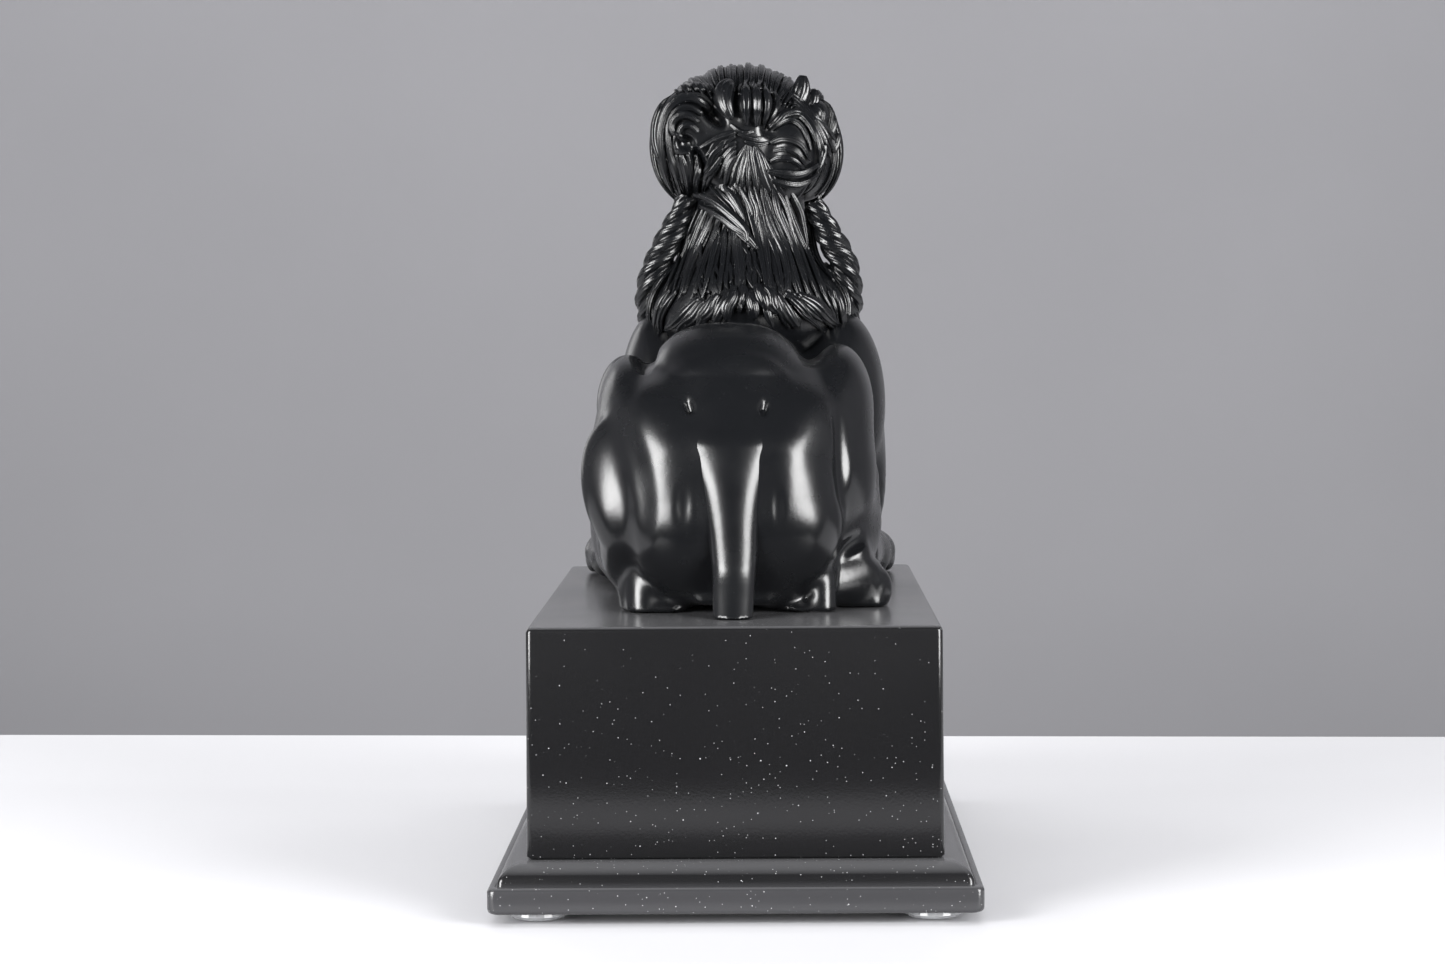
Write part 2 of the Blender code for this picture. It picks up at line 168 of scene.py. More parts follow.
class Clay:
    """A solid built up form by form, as signed distances on a grid."""

    def __init__(self, low, high, step):
        self.axes = [np.arange(a, b + step, step, dtype=np.float32) for a, b in zip(low, high)]
        self.field = np.full([len(axis) for axis in self.axes], FAR, np.float32)
        self.steps = []

    def _apply(self, form, blend, sign):
        distance, low, high = form
        margin = blend + 4
        part = tuple(
            slice(*np.searchsorted(axis, (a - margin, b + margin)))
            for axis, a, b in zip(self.axes, low, high)
        )
        d = distance(*np.ix_(*(axis[s] for axis, s in zip(self.axes, part))))
        old = self.field[part]
        self.field[part] = soft_min(old, d, blend) if sign > 0 else -soft_min(-old, d, blend)
        self.steps.append((distance, blend, sign))

    def add(self, form, blend=6):
        self._apply(form, blend, 1)

    def cut(self, form, blend=3):
        self._apply(form, blend, -1)

    def at(self, p):
        x, y, z = p.T
        d = np.full(len(p), FAR)
        for distance, blend, sign in self.steps:
            e = distance(x, y, z)
            d = soft_min(d, e, blend) if sign > 0 else -soft_min(-d, e, blend)
        return d

    def slope(self, p, reach=0.1):
        g = np.empty_like(p)
        for i in range(3):
            q = np.zeros(3)
            q[i] = reach
            g[:, i] = (self.at(p + q) - self.at(p - q)) / (2 * reach)
        return g

    def normal(self, p):
        g = self.slope(p, 0.4)
        return g / np.maximum(np.linalg.norm(g, axis=1), 1e-6)[:, None]

    def snap(self, p, rounds=2, most=0.6):
        """Moves points on to the surface."""
        for _ in range(rounds):
            g = self.slope(p)
            square = np.maximum((g * g).sum(1), 0.05)
            p = p - g * np.clip(self.at(p) / square, -most, most)[:, None]
        return p

    def hit(self, start, direction, steps=40):
        """Where rays from outside first meet the surface, in steps a little short of the distance."""
        p, d = np.array(start, float), np.array(direction, float)
        d = d / np.linalg.norm(d, axis=1)[:, None]
        for _ in range(steps):
            p = p + d * (self.at(p) * 0.8)[:, None]
        return p

    def behind(self, x, h):
        """The point of the surface seen from behind at x and h."""
        return self.hit([(x, 110, h)], [(0, -1, 0)], 60)[0]

    def dent(self, x, h, radii, turn=(0, 0, 0), sunk=0.5, blend=2):
        """Presses an egg into the back. sunk is how far its middle lies below the surface."""
        y = self.behind(x, h)[1]
        self.cut(egg((x, y - sunk, h), radii, turn), blend)

    def mesh(self, rounds=3):
        verts, quads = surface_nets(self.field, self.axes)
        return self.snap(relax(verts, quads), rounds), quads


def surface_nets(field, axes):
    """One vertex for each grid cell that the surface passes through, and a quad round each crossed edge."""
    inside = field < 0
    shape = np.array(field.shape)
    stride = np.array([shape[1] * shape[2], shape[2], 1])
    cells, spots, rings = [], [], []
    for axis in range(3):
        behind, front = [slice(None)] * 3, [slice(None)] * 3
        behind[axis], front[axis] = slice(0, -1), slice(1, None)
        index = np.argwhere(inside[tuple(behind)] != inside[tuple(front)])
        u, v = (axis + 1) % 3, (axis + 2) % 3
        keep = (index[:, u] > 0) & (index[:, v] > 0)
        keep &= (index[:, u] < shape[u] - 1) & (index[:, v] < shape[v] - 1)
        index = index[keep]
        ahead = index.copy()
        ahead[:, axis] += 1
        f0 = field[tuple(index.T)].astype(float)
        f1 = field[tuple(ahead.T)].astype(float)
        spot = np.stack([axes[i][index[:, i]] for i in range(3)], 1).astype(float)
        spot[:, axis] += f0 / (f0 - f1) * (axes[axis][1] - axes[axis][0])
        ring = []
        for du, dv in ((0, 0), (0, -1), (-1, -1), (-1, 0)):
            near = index.copy()
            near[:, u] += du
            near[:, v] += dv
            ring.append(near @ stride)
        ring = np.stack(ring, 1)
        ring[f0 < 0] = ring[f0 < 0][:, ::-1]
        rings.append(ring)
        cells.append(ring.ravel())
        spots.append(np.repeat(spot, 4, axis=0))
    cells, spots = np.concatenate(cells), np.concatenate(spots)
    known, which = np.unique(cells, return_inverse=True)
    count = np.bincount(which)
    verts = np.stack([np.bincount(which, spots[:, i]) / count for i in range(3)], 1)
    return verts, np.searchsorted(known, np.concatenate(rings))


def relax(verts, quads, rounds=2):
    """Evens the vertices out, each towards the middle of its neighbours."""
    for _ in range(rounds):
        total, count = np.zeros_like(verts), np.zeros(len(verts))
        for i in range(4):
            a, b = quads[:, i], quads[:, (i + 1) % 4]
            for j in range(3):
                total[:, j] += np.bincount(a, verts[b, j], len(verts))
            count += np.bincount(a, minlength=len(verts))
        verts = 0.5 * verts + 0.5 * total / np.maximum(count, 1)[:, None]
    return verts


# ---------------------------------------------------------------- pieces


def make_piece(name, verts, faces, look, *nodes, slot="black_resin"):
    """A new piece from vertices in millimetres above the plinth's top, in place of the named nodes."""
    mesh = bpy.data.meshes.new(name)
    placed = (np.asarray(verts, float) + (0, 0, GROUND)) * MM
    mesh.from_pydata(placed.tolist(), [], [tuple(face) for face in np.asarray(faces, object).tolist()])
    mesh.validate()
    mesh.update()
    mesh.shade_smooth()
    mesh.materials.append(look)
    obj = bpy.data.objects.new(name, mesh)
    bpy.context.scene.collection.objects.link(obj)
    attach(obj, BODY)
    if nodes:
        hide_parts(*nodes)


# ---------------------------------------------------------------- materials


class Look:
    """A material being put together. Its textures lie in the object's own space, in metres."""

    def __init__(self, name, roughness, metallic=0.0):
        self.material = bpy.data.materials.new(name)
        self.material.use_nodes = True
        self.tree = self.material.node_tree
        self.shader = self.tree.nodes["Principled BSDF"]
        self.shader.inputs["Roughness"].default_value = roughness
        self.shader.inputs["Metallic"].default_value = metallic
        self.where = self.node("TexCoord").outputs["Object"]

    def node(self, kind, inputs=(), **settings):
        """A new node. Each input takes a value, or the output of another node."""
        node = self.tree.nodes.new("ShaderNode" + kind)
        for key, value in settings.items():
            setattr(node, key, value)
        for key, value in inputs:
            if isinstance(value, bpy.types.NodeSocket):
                self.tree.links.new(value, node.inputs[key])
            else:
                node.inputs[key].default_value = value
        return node

    def texture(self, kind, output, *inputs):
        return self.node(kind, (("Vector", self.where), *inputs)).outputs[output]

    def spread(self, value, *limits):
        """A value moved from one range to another, which is 0 to 1 where no limit is given."""
        return self.node("MapRange", (("Value", value), *limits)).outputs["Result"]

    def math(self, operation, first, second):
        return self.node("Math", ((0, first), (1, second)), operation=operation).outputs["Value"]

    def mix(self, share, first, second):
        inputs = (("Factor", share), ("A", first), ("B", second))
        return self.node("Mix", inputs, data_type="RGBA").outputs["Result"]

    def ramp(self, value, *stops):
        """A colour for every value, or a grey where the stops give one number."""
        node = self.node("ValToRGB", (("Fac", value),))
        marks = node.color_ramp.elements
        while len(marks) < len(stops):
            marks.new(0.5)
        for mark, (place, colour) in zip(marks, stops):
            mark.position = place
            mark.color = (*colour, 1.0) if len(colour) == 3 else (colour[0],) * 3 + (1.0,)
        return node.outputs["Color"]

    def paint(self, key, source):
        self.tree.links.new(source, self.shader.inputs[key])

    def bump(self, height, strength, distance):
        inputs = (("Height", height), ("Strength", strength), ("Distance", distance))
        self.paint("Normal", self.node("Bump", inputs).outputs["Normal"])


RESIN_BLACK = (0.0040, 0.0043, 0.0050)


def resin_look():
    """Black cast resin: satin gloss, with a faint orange peel and a little dust."""
    look = Look("black_resin", 0.24)
    peel = look.texture("TexNoise", "Fac", ("Scale", 900.0), ("Detail", 3.0), ("Roughness", 0.6))
    swell = look.texture("TexNoise", "Fac", ("Scale", 55.0), ("Detail", 4.0), ("Roughness", 0.55))
    dust = look.texture("TexVoronoi", "Distance", ("Scale", 420.0), ("Randomness", 1.0))
    look.paint("Roughness", look.ramp(swell, (0.3, (0.20,)), (0.7, (0.31,))))
    look.paint("Base Color", look.ramp(dust, (0.0, (0.16, 0.165, 0.17)), (0.045, RESIN_BLACK)))
    look.bump(peel, 0.10, 0.0002)
    return look.material


def hair_look():
    """The same resin over modelled hair: glossier ridges and scratched fine lines."""
    look = Look("black_resin_hair", 0.2)
    stretched = look.node("Mapping", (("Vector", look.where), ("Scale", (1.0, 1.0, 0.22))))
    lines = look.node("TexNoise", (("Vector", stretched.outputs["Vector"]), ("Scale", 1100.0),
                                   ("Detail", 3.0), ("Roughness", 0.7)))
    dust = look.texture("TexVoronoi", "Distance", ("Scale", 500.0), ("Randomness", 1.0))
    swell = look.texture("TexNoise", "Fac", ("Scale", 90.0), ("Detail", 4.0))
    look.paint("Roughness", look.ramp(swell, (0.35, (0.15,)), (0.7, (0.34,))))
    look.paint("Base Color", look.ramp(dust, (0.0, (0.30, 0.30, 0.31)), (0.06, RESIN_BLACK)))
    look.bump(lines.outputs["Fac"], 0.45, 0.0002)
    return look.material


def plinth_look():
    """Black paint with scattered pale specks, thicker near the foot. Faces turned up are painted paler,
    partly for settled dust and partly as a painted reflection of the wall, and a painted highlight runs
    along the foot.
    """
    look = Look("black_plinth", 0.3)
    place = look.node("SeparateXYZ", (("Vector", look.where),))
    cloud = look.texture("TexNoise", "Fac", ("Scale", 16.0), ("Detail", 3.0))
    grain = look.texture("TexNoise", "Fac", ("Scale", 1300.0), ("Detail", 2.0))
    low_down = look.spread(place.outputs["Z"], ("From Min", 0.0795), ("From Max", 0.004))
    crowd = look.math("MULTIPLY", cloud, low_down)
    specks = None
    for scale, size, share in ((900.0, 0.13, 0.22), (640.0, 0.12, 0.10), (430.0, 0.10, 0.035)):
        cells = look.node("TexVoronoi", (("Vector", look.where), ("Scale", scale), ("Randomness", 1.0)))
        dot = look.spread(cells.outputs["Distance"], ("From Min", size), ("From Max", size * 0.4))
        pick = look.node("SeparateColor", (("Color", cells.outputs["Color"]),))
        limit = look.spread(crowd, ("From Max", 0.6), ("To Min", share * 0.5), ("To Max", share * 2.2))
        speck = look.math("MULTIPLY", dot, look.math("LESS_THAN", pick.outputs["Red"], limit))
        specks = look.math("MAXIMUM", specks, speck) if specks else speck
    # Near-black paint. In the lowest few millimetres, along the foot, it is painted paler as a painted
    # highlight.
    foot_highlight_paint = look.ramp(low_down, (0.0, (0.006, 0.006, 0.0065)), (0.90, (0.007, 0.007, 0.0075)),
                      (0.93, (0.030, 0.030, 0.032)))
    # Faces turned up are painted paler: partly settled dust, partly a painted reflection of the wall on the
    # top.
    facing = look.node("SeparateXYZ", (("Vector", look.node("NewGeometry").outputs["Normal"]),))
    upward = look.spread(facing.outputs["Z"], ("From Min", 0.6), ("From Max", 0.98))
    dust_and_painted_light = look.mix(upward, foot_highlight_paint, (0.065, 0.065, 0.068, 1))
    look.paint("Base Color", look.mix(specks, dust_and_painted_light, (0.42, 0.42, 0.43, 1)))
    look.paint("Roughness", look.ramp(cloud, (0.3, (0.19,)), (0.7, (0.26,))))
    look.bump(grain, 0.25, 0.00012)
    return look.material


def mottled_look(name, low, high, scale, roughness, metallic=0.0, clear=0.0, detail=4.0):
    """A plain material that wavers between two colours."""
    look = Look(name, roughness, metallic)
    mottle = look.texture("TexNoise", "Fac", ("Scale", scale), ("Detail", detail))
    look.paint("Base Color", look.ramp(mottle, (0.35, low), (0.65, high)))
    look.shader.inputs["Transmission Weight"].default_value = clear
    return look.material


# ---------------------------------------------------------------- plinth


def outline(half_x, half_y, radius, steps=6):
    """A rectangle with rounded corners, anticlockwise."""
    points = []
    for turn, (sx, sy) in enumerate(((1, -1), (1, 1), (-1, 1), (-1, -1))):
        for i in range(steps + 1):
            a = (turn - 1 + i / steps) * pi / 2
            x, y = sx * (half_x - radius), sy * (half_y - radius)
            points.append((x + radius * cos(a), y + radius * sin(a)))
    return points


def loft(name, node, levels, look):
    """Closed solid through rounded rectangles of (half_x, half_y, corner radius, z above the table)."""
    rings = [[(x, y, z - GROUND) for x, y in outline(hx, hy, r)] for hx, hy, r, z in levels]
    count = len(rings[0])
    verts = [vert for ring in rings for vert in ring]
    faces = [tuple(reversed(range(count))), tuple(range(len(verts) - count, len(verts)))]
    for row in range(len(rings) - 1):
        for i in range(count):
            j = (i + 1) % count
            a, b = row * count, (row + 1) * count
            faces.append((a + i, a + j, b + j, b + i))
    make_piece(name, verts, faces, look, node, slot="black_plinth")


def make_plinth(look):
    """The block with eased edges, and the moulding under it: plate, shadow line and ovolo."""
    low, high = PLINTH_LOW, PLINTH_HIGH
    hx, hy = high.x, high.y
    edge = 1.5
    levels = [(hx - 0.8, hy - 0.8, 0.9, low.z), (hx, hy, 1.6, low.z + 0.6)]
    for i in range(7):
        a = i / 6 * pi / 2
        shrink = 0.3 + edge * (1 - cos(a))
        corner = max(1.6 - shrink * 0.4, 0.6)
        levels.append((hx - shrink, hy - shrink, corner, high.z - edge + edge * sin(a)))
    levels.append((hx - 4, hy - 4, 0.6, high.z))
    loft("plinth_block_painted", "plinth_block", levels, look)

    low, high = (Vector(corner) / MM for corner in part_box("base_moulding"))
    hx, hy = high.x, high.y
    plate_top, foot_round, top_round, line = low.z + 7.2, 1.6, 1.2, 2.5
    levels = []
    for i in range(6):
        a = (1 - i / 5) * pi / 2
        shrink = foot_round * (1 - cos(a))
        levels.append((hx - shrink, hy - shrink, 2.4, low.z + foot_round * (1 - sin(a))))
    for i in range(6):
        a = i / 5 * pi / 2
        shrink = top_round * (1 - cos(a))
        levels.append((hx - shrink, hy - shrink, 2.2, plate_top - top_round + top_round * sin(a)))
    levels.append((hx - 2.2, hy - 2.2, 1.8, plate_top))
    levels.append((hx - 2.4, hy - 2.4, 1.6, plate_top - 0.3))
    ovolo_foot = plate_top + 0.2
    levels.append((hx - line, hy - line, 1.6, ovolo_foot))
    inner = hx - PLINTH_HIGH.x + 0.2
    for i in range(1, 9):
        a = i / 8 * pi / 2
        shrink = line + (inner - line) * (1 - cos(a))
        levels.append((hx - shrink, hy - shrink, 1.4, ovolo_foot + (high.z - ovolo_foot) * sin(a)))
    levels.append((hx - inner - 6, hy - inner - 6, 1, high.z))
    loft("base_moulding_painted", "base_moulding", levels, look)


# ---------------------------------------------------------------- body


def sculpt_trunk(clay):
    """Croup, barrel, chest and shoulders. The shoulders lean to the lion's right."""
    clay.add(bun((2.1, 37, 43), (25.9, 35.5, 37.8), 2.8, (11, 0, 0)), 1)
    clay.add(egg((-1, 6, 38), (28, 48, 33)), 12)
    clay.add(egg((0, 0, 12), (25, 58, 18)), 10)
    clay.add(egg((LEAN / 2, -28, 46), (30, 30, 40)), 14)
    clay.add(egg((LEAN / 2, -36, 18), (22, 26, 22)), 10)
    clay.add(limb(((LEAN, -24, 64), (LEAN, -30, 92)), (22, 12)), 12)
    clay.add(egg((24, -16, 56), (11.5, 22, 28), (10, 0, 0)), 7)
    clay.add(egg((-31.5, -14, 56), (13.5, 24, 28), (10, 0, 0)), 7)
    clay.add(limb(((28, -30, 46), (31, -18, 30), (31, -6, 14)), (11, 10, 8)), 7)
    clay.add(limb(((-33, -28, 46), (-35, -16, 30), (-33, -6, 14)), (11, 10, 8)), 7)


def sculpt_left_haunch(clay):
    """Thigh, the inner muscle beside the tail, a slanting outer one with a groove between, and the knee."""
    clay.add(egg((23, 38, 38), (19.5, 32, 28.5), (-6, 0, 0)), 6)
    clay.add(egg((29, 36, 52.4), (10.4, 28, 19), (-8, 4, 0)), 2.5)
    clay.add(limb(((21.5, 46, 55), (19.5, 56.6, 50), (17, 60.5, 41), (15.8, 62, 31), (15.5, 62.5, 23),
                   (15, 58, 13)), (11.5, 14.6, 16, 16, 15, 12), 14), 3)
    clay.add(egg((33.4, 59.6, 34.5), (10, 7.8, 19), (8, 14, -24)), 4)
    clay.cut(limb(((34, 67.4, 58), (31, 73.1, 48), (27.6, 77.3, 38), (26.6, 78.2, 28), (28, 77.6, 19)),
                  (0.6, 1.8, 2.2, 1.8, 0.8)), 5)
    clay.add(egg((31.8, 12, 56), (9.2, 13, 15.4), (-12, 0, 0)), 2)
    clay.cut(limb(((25.0, 14, 77), (25.4, 25, 73), (25.8, 34, 71.8), (25.8, 43, 70), (25.4, 50, 66.5)),
                  (0.5, 2.0, 3.0, 2.4, 0.4), 10), 2.5)
    clay.add(limb(((33, 14, 34), (31, 30, 20), (28, 50, 14)), (9, 11, 10)), 6)
    clay.add(egg((30.4, 54, 20), (8, 9, 8)), 5)


def sculpt_right_haunch(clay):
    """The same muscles, but the thigh stands higher, and a shallow hollow runs inside its outer rim."""
    clay.add(egg((-22, 37, 38), (18.6, 27, 30), (-6, 0, 0)), 6)
    clay.add(egg((-29, 32, 54), (11, 26, 20.2), (-8, -3, 0)), 2.5)
    clay.add(limb(((-20, 45, 56), (-16.8, 57, 50), (-13.2, 61.5, 41), (-13.8, 62.6, 31), (-15.5, 62, 23),
                   (-12, 58, 12)), (11.5, 13.8, 15, 15.2, 14.4, 12), 14), 4)
    clay.add(egg((-31, 14, 50), (9, 13, 19), (-16, 0, 0)), 4)
    clay.cut(limb(((-21.6, 6, 79), (-22.2, 18, 76), (-21.8, 34, 74.6), (-21, 47, 69.5)),
                  (0.8, 3.4, 3.2, 0.6), 10), 2.5)
    clay.add(limb(((-33, 14, 34), (-31, 30, 20), (-27, 48, 15)), (9, 11, 10)), 6)


def sculpt_seat(clay):
    """The flat skin between the inner muscles, which the tail lies on."""
    stations = ((54, 0.8, 59.6, 13), (49, 0.8, 64.4, 14), (42, 1.0, 68.6, 14), (34, 1.0, 70.6, 13.5),
                (25, 1.0, 71, 13), (16, 0.8, 68.5, 12), (6, 0.6, 63, 11))
    clay.add(column(stations, 7, 6), 4)


def sculpt_hind_feet(clay):
    """Heels with tendon ridges, the left foot straight and the right one turned out."""
    clay.add(limb(((24, 57, 5), (26, 30, 6), (27, 14, 6)), (6.4, 7, 7)), 3)
    clay.add(limb(((26.6, 52, 20), (25.8, 58.5, 10), (25.4, 61.5, -1)), (4.0, 5.0, 5.4)), 3)
    clay.add(limb(((30.5, 50, 18), (29.6, 54, 9), (28.4, 56, -1)), (3.0, 3.8, 4.2)), 3)
    clay.add(egg((19.0, 62, -1), (5, 5, 4)), 3)
    clay.add(egg((26.5, 8, 5), (8, 12, 7.5)), 3)
    clay.add(limb(((-24, 54, 6), (-31, 50, 8), (-35, 46, 8)), (6, 7, 6.5)), 3)
    paw = ((-2, -36, 42, 7.4), (6, -36, 42, 7.2), (11, -35.4, 43, 5.6), (14, -34, 44, 4))
    clay.add(column(paw, 11, 3.5), 3)
    clay.add(limb(((-29, 50, 26), (-30.5, 51, 18), (-33, 49, 10)), (3.2, 4.0, 4.4)), 4)
    clay.add(limb(((-25, 56, 22), (-24.4, 61, 11), (-24.2, 63.2, -1)), (3.2, 3.9, 4.3)), 2.5)
    clay.add(egg((-18.5, 63, -1), (5.5, 4.5, 3.5)), 3)
    toes = ((-41.0, 46.5, 5.0, 3.6), (-40.4, 40, 4.8, 3.4), (-37.5, 36, 4.6, 3.4), (-33, 34, 4.4, 3.4))
    for x, y, h, r in toes:
        clay.add(egg((x, y, h), (r, r * 1.3, r * 1.4)), 1.6)
    # A crease runs under the right thigh, above the paw.
    clay.cut(limb(((-43.5, 44, 22.5), (-38, 52.5, 20.6), (-32.4, 58, 17.4), (-28.4, 61.6, 12)),
                  (1.8, 2.2, 2.2, 1.2)), 1.2)


def sculpt_body():
    clay = Clay((-54, -72, -1.7), (54, 96, 98), 0.85)
    sculpt_trunk(clay)
    sculpt_left_haunch(clay)
    sculpt_right_haunch(clay)
    sculpt_seat(clay)
    sculpt_hind_feet(clay)
    # The sacrum runs down into the tail's root.
    stations = ((66, 0.9, 58.5, 9.5, 4), (60, 0.9, 64.5, 11, 4.5), (54, 0.9, 69.3, 12, 4.2),
                (48, 0.9, 73.0, 13.2, 4.0), (43, 0.9, 73.5, 12.6, 4), (35, 0.7, 71.6, 10, 5),
                (28, 0.5, 71, 8, 5))
    clay.add(column(stations, None, 2), 4)
    clay.dent(13.4, 59.5, (0.9, 1.3, 6.5), (0, 20, 0), -0.85, 1.8)
    clay.dent(-9.0, 59, (0.8, 1.2, 6.5), (0, -14, 0), -0.8, 1.8)
    clay.dent(14.0, 31, (1.6, 1.5, 5.5), (0, 0, 0), -1.3, 2)
    clay.dent(-12.2, 30, (1.2, 1.2, 5), (0, 0, 0), -1.05, 1.5)
    clay.dent(-31.0, 46, (3.0, 3.4, 16), (0, 2, 0), -2.8, 2.5)
    clay.cut(half_space((0, 0, 0), (0, 0, 1)), 0.8)
    return clay


def column(stations, depth, power):
    """A hanging strap: at each height its middle (x, y), its half-width and, where it changes, its depth."""
    table = spline(sorted(stations), 40)
    heights, xs, ys, widths = table.T[:4]
    deep = np.full(len(widths), float(depth)) if depth else table[:, 4]

    def distance(x, y, z):
        flat = np.clip(z, heights[0], heights[-1])
        half, thick = np.interp(flat, heights, widths), np.interp(flat, heights, deep)
        across = (x - np.interp(flat, heights, xs)) / half
        back = (y - np.interp(flat, heights, ys)) / thick
        over = np.abs(z - flat) / 4
        f = (np.abs(across) ** power + np.abs(back) ** power + over**power) ** (1 / power) - 1
        return f * np.minimum(half, thick) * 0.85

    low = (xs.min() - widths.max(), ys.min() - deep.max(), heights[0] - 4)
    high = (xs.max() + widths.max(), ys.max() + deep.max(), heights[-1] + 4)
    return distance, np.array(low), np.array(high)


def sculpt_tail():
    """The tail hangs broad from the sacrum, narrows, and kicks back where it meets the plinth."""
    clay = Clay((-14, 44, -1.6), (16, 96, 76), 0.6)
    stations = (
        (-2, 0.5, 86.4, 5.4, 3.6),
        (5, 0.4, 82.2, 5.7, 3.8),
        (12, 0.2, 78.1, 6.1, 4.1),
        (17, 0.2, 77.0, 6.6, 4.4),
        (26, 0.5, 75.9, 7.7, 5.1),
        (35, 0.7, 75.0, 9.3, 5.4),
        (43, 0.9, 74.2, 11.4, 5.0),
        (48, 0.9, 73.4, 12.8, 4.4),
        (54, 0.9, 69.4, 12.8, 3.9),
        (60, 0.9, 64.0, 10, 3.4),
    )
    clay.add(column(stations, None, 2), 1)
    clay.cut(half_space((0, 0, 0), (0, 0, 1)), 0.5)
    return clay


def sculpt_foreleg(side):
    """A forearm lying on the plinth, with a broad paw, four toes and their claws."""
    clay = Clay((-2 if side > 0 else -58, -104, -1.6), (58 if side > 0 else 2, 2, 26), 0.7)

    def x(value):
        return side * value - 0.3

    clay.add(limb(((x(33), -14, 10), (x(36), -38, 9), (x(38.5), -62, 8)), (9.5, 8.6, 7.6)), 1)
    clay.add(egg((x(39.5), -72, 7), (10.2, 14, 7.6)), 4)
    clay.add(egg((x(42.5), -60, 6), (4.5, 8, 6)), 3)
    for number in range(4):
        across = (number - 1.5) * 5.0
        toe, back = x(39.5 + across), abs(across) * 0.6
        clay.add(egg((toe, -84 + back, 4.6), (2.9, 7.0, 4.9)), 1.6)
        clay.add(egg((toe, -82 + back, 6.8), (2.5, 3.0, 2.8)), 1.2)
        clay.add(limb(((toe, -89 + back, 3.6), (x(39.5 + across * 1.05), -94, 1.2)), (1.5, 0.5)), 0.6)
    clay.cut(half_space((0, 0, 0), (0, 0, 1)), 0.5)
    return clay


def make_body(look):
    for name, node, clay in (
        ("lion_body", "body_casting", sculpt_body()),
        ("lion_tail", "tail_casting", sculpt_tail()),
        ("lion_foreleg_left", "foreleg_left", sculpt_foreleg(1)),
        ("lion_foreleg_right", "foreleg_right", sculpt_foreleg(-1)),
    ):
        make_piece(name, *clay.mesh(), look, node)


# ---------------------------------------------------------------- hair


def rope(path, facing, widths, thickness, ridges=6, groove=0.3, turns=0.0, hairs=0):
    """A closed lock of hair along path, its flat side towards facing, with grooves between its ridges.

    widths is the half-width at every point. turns is how often the section goes round along the way.
    """
    count = len(path)
    along = np.gradient(path, axis=0)
    along /= np.linalg.norm(along, axis=1)[:, None]
    across = np.cross(along, facing)
    across /= np.maximum(np.linalg.norm(across, axis=1), 1e-6)[:, None]
    out = np.cross(across, along)
    sides = 4 * hairs if hairs else 5 * ridges
    angle = np.arange(sides) / sides * tau
    ripple = 1 - groove * (1 - np.abs(np.sin(ridges / 2 * angle)) ** 0.6)
    if hairs:
        ripple -= 0.05 * (1 - np.abs(np.sin(hairs / 2 * angle)))
    gone = np.concatenate([[0], np.cumsum(np.linalg.norm(np.diff(path, axis=0), axis=1))])
    spin = (turns * tau * gone / gone[-1])[:, None]
    around = angle[None] + spin
    wide = widths[:, None] * ripple * np.cos(around)
    thick = (widths * thickness)[:, None] * ripple * np.sin(around)
    rings = path[:, None] + across[:, None] * wide[..., None] + out[:, None] * thick[..., None]
    verts = np.concatenate([rings.reshape(-1, 3), path[:1], path[-1:]])
    j = np.arange(sides)
    k = (j + 1) % sides
    rows = np.arange(count - 1)[:, None] * sides
    quads = np.stack([rows + j, rows + k, rows + sides + k, rows + sides + j], -1).reshape(-1, 4)
    last = (count - 1) * sides
    first_tip, last_tip = count * sides, count * sides + 1
    ends = [(first_tip, b, a) for a, b in zip(j, k)]
    ends += [(last_tip, last + a, last + b) for a, b in zip(j, k)]
    return verts, [tuple(quad) for quad in quads.tolist()] + [tuple(int(i) for i in end) for end in ends]


def taper(count, start=0.5, tip=0.08, fullest=0.35):
    """Relative half-width along a lock: from its root, out to its fullest, and in to its tip."""
    s = np.linspace(0, 1, count)
    rise = start + (1 - start) * np.sin(np.clip(s / fullest, 0, 1) * pi / 2)
    fall = tip + (1 - tip) * np.cos(np.clip((s - fullest) / (1 - fullest), 0, 1) * pi / 2) ** 0.8
    return np.minimum(rise, fall)


def gather(parts):
    """Joins several (verts, faces) into one."""
    verts, faces, offset = [], [], 0
    for part_verts, part_faces in parts:
        verts.append(part_verts)
        faces += [tuple(i + offset for i in face) for face in part_faces]
        offset += len(part_verts)
    return np.concatenate(verts), faces


def between(first, last, count):
    """Paths spread evenly from one guide path to another."""
    a, b = np.array(first, float), np.array(last, float)
    return [a + (b - a) * (i / (count - 1)) for i in range(count)]


def seen_from_behind(points, samples=22):
    """Rays along -y through a path given as (x, h)."""
    p = spline([(x, 0, h) for x, h in points], samples)
    return p + (0, 60, 0), np.tile((0.0, -1.0, 0.0), (samples, 1))


def round_axis(points, samples=22, axis=(LEAN, -26)):
    """Rays towards a vertical axis through a path of (angle, h), 0 degrees behind and 90 on the left."""
    p = spline([(angle, 0, h) for angle, h in points], samples)
    a = np.radians(p[:, 0])
    away = np.stack([np.sin(a), np.cos(a), np.zeros(samples)], 1)
    middle = np.stack([np.full(samples, axis[0]), np.full(samples, axis[1]), p[:, 2]], 1)
    return middle + away * OUTSIDE, -away


def over_head(points, samples=22, middle=(LEAN + 1, -32, 134)):
    """Rays towards the head's middle through a path of (turn, lean).

    turn is 0 in front, 90 on top and 180 behind, and lean tips to the left.
    """
    p = np.radians(spline([(turn, 0, lean) for turn, lean in points], samples))
    turn, lean = p[:, 0], p[:, 2]
    away = np.stack([np.sin(lean), -np.cos(lean) * np.cos(turn), np.cos(lean) * np.sin(turn)], 1)
    return np.array(middle) + away * OUTSIDE, -away


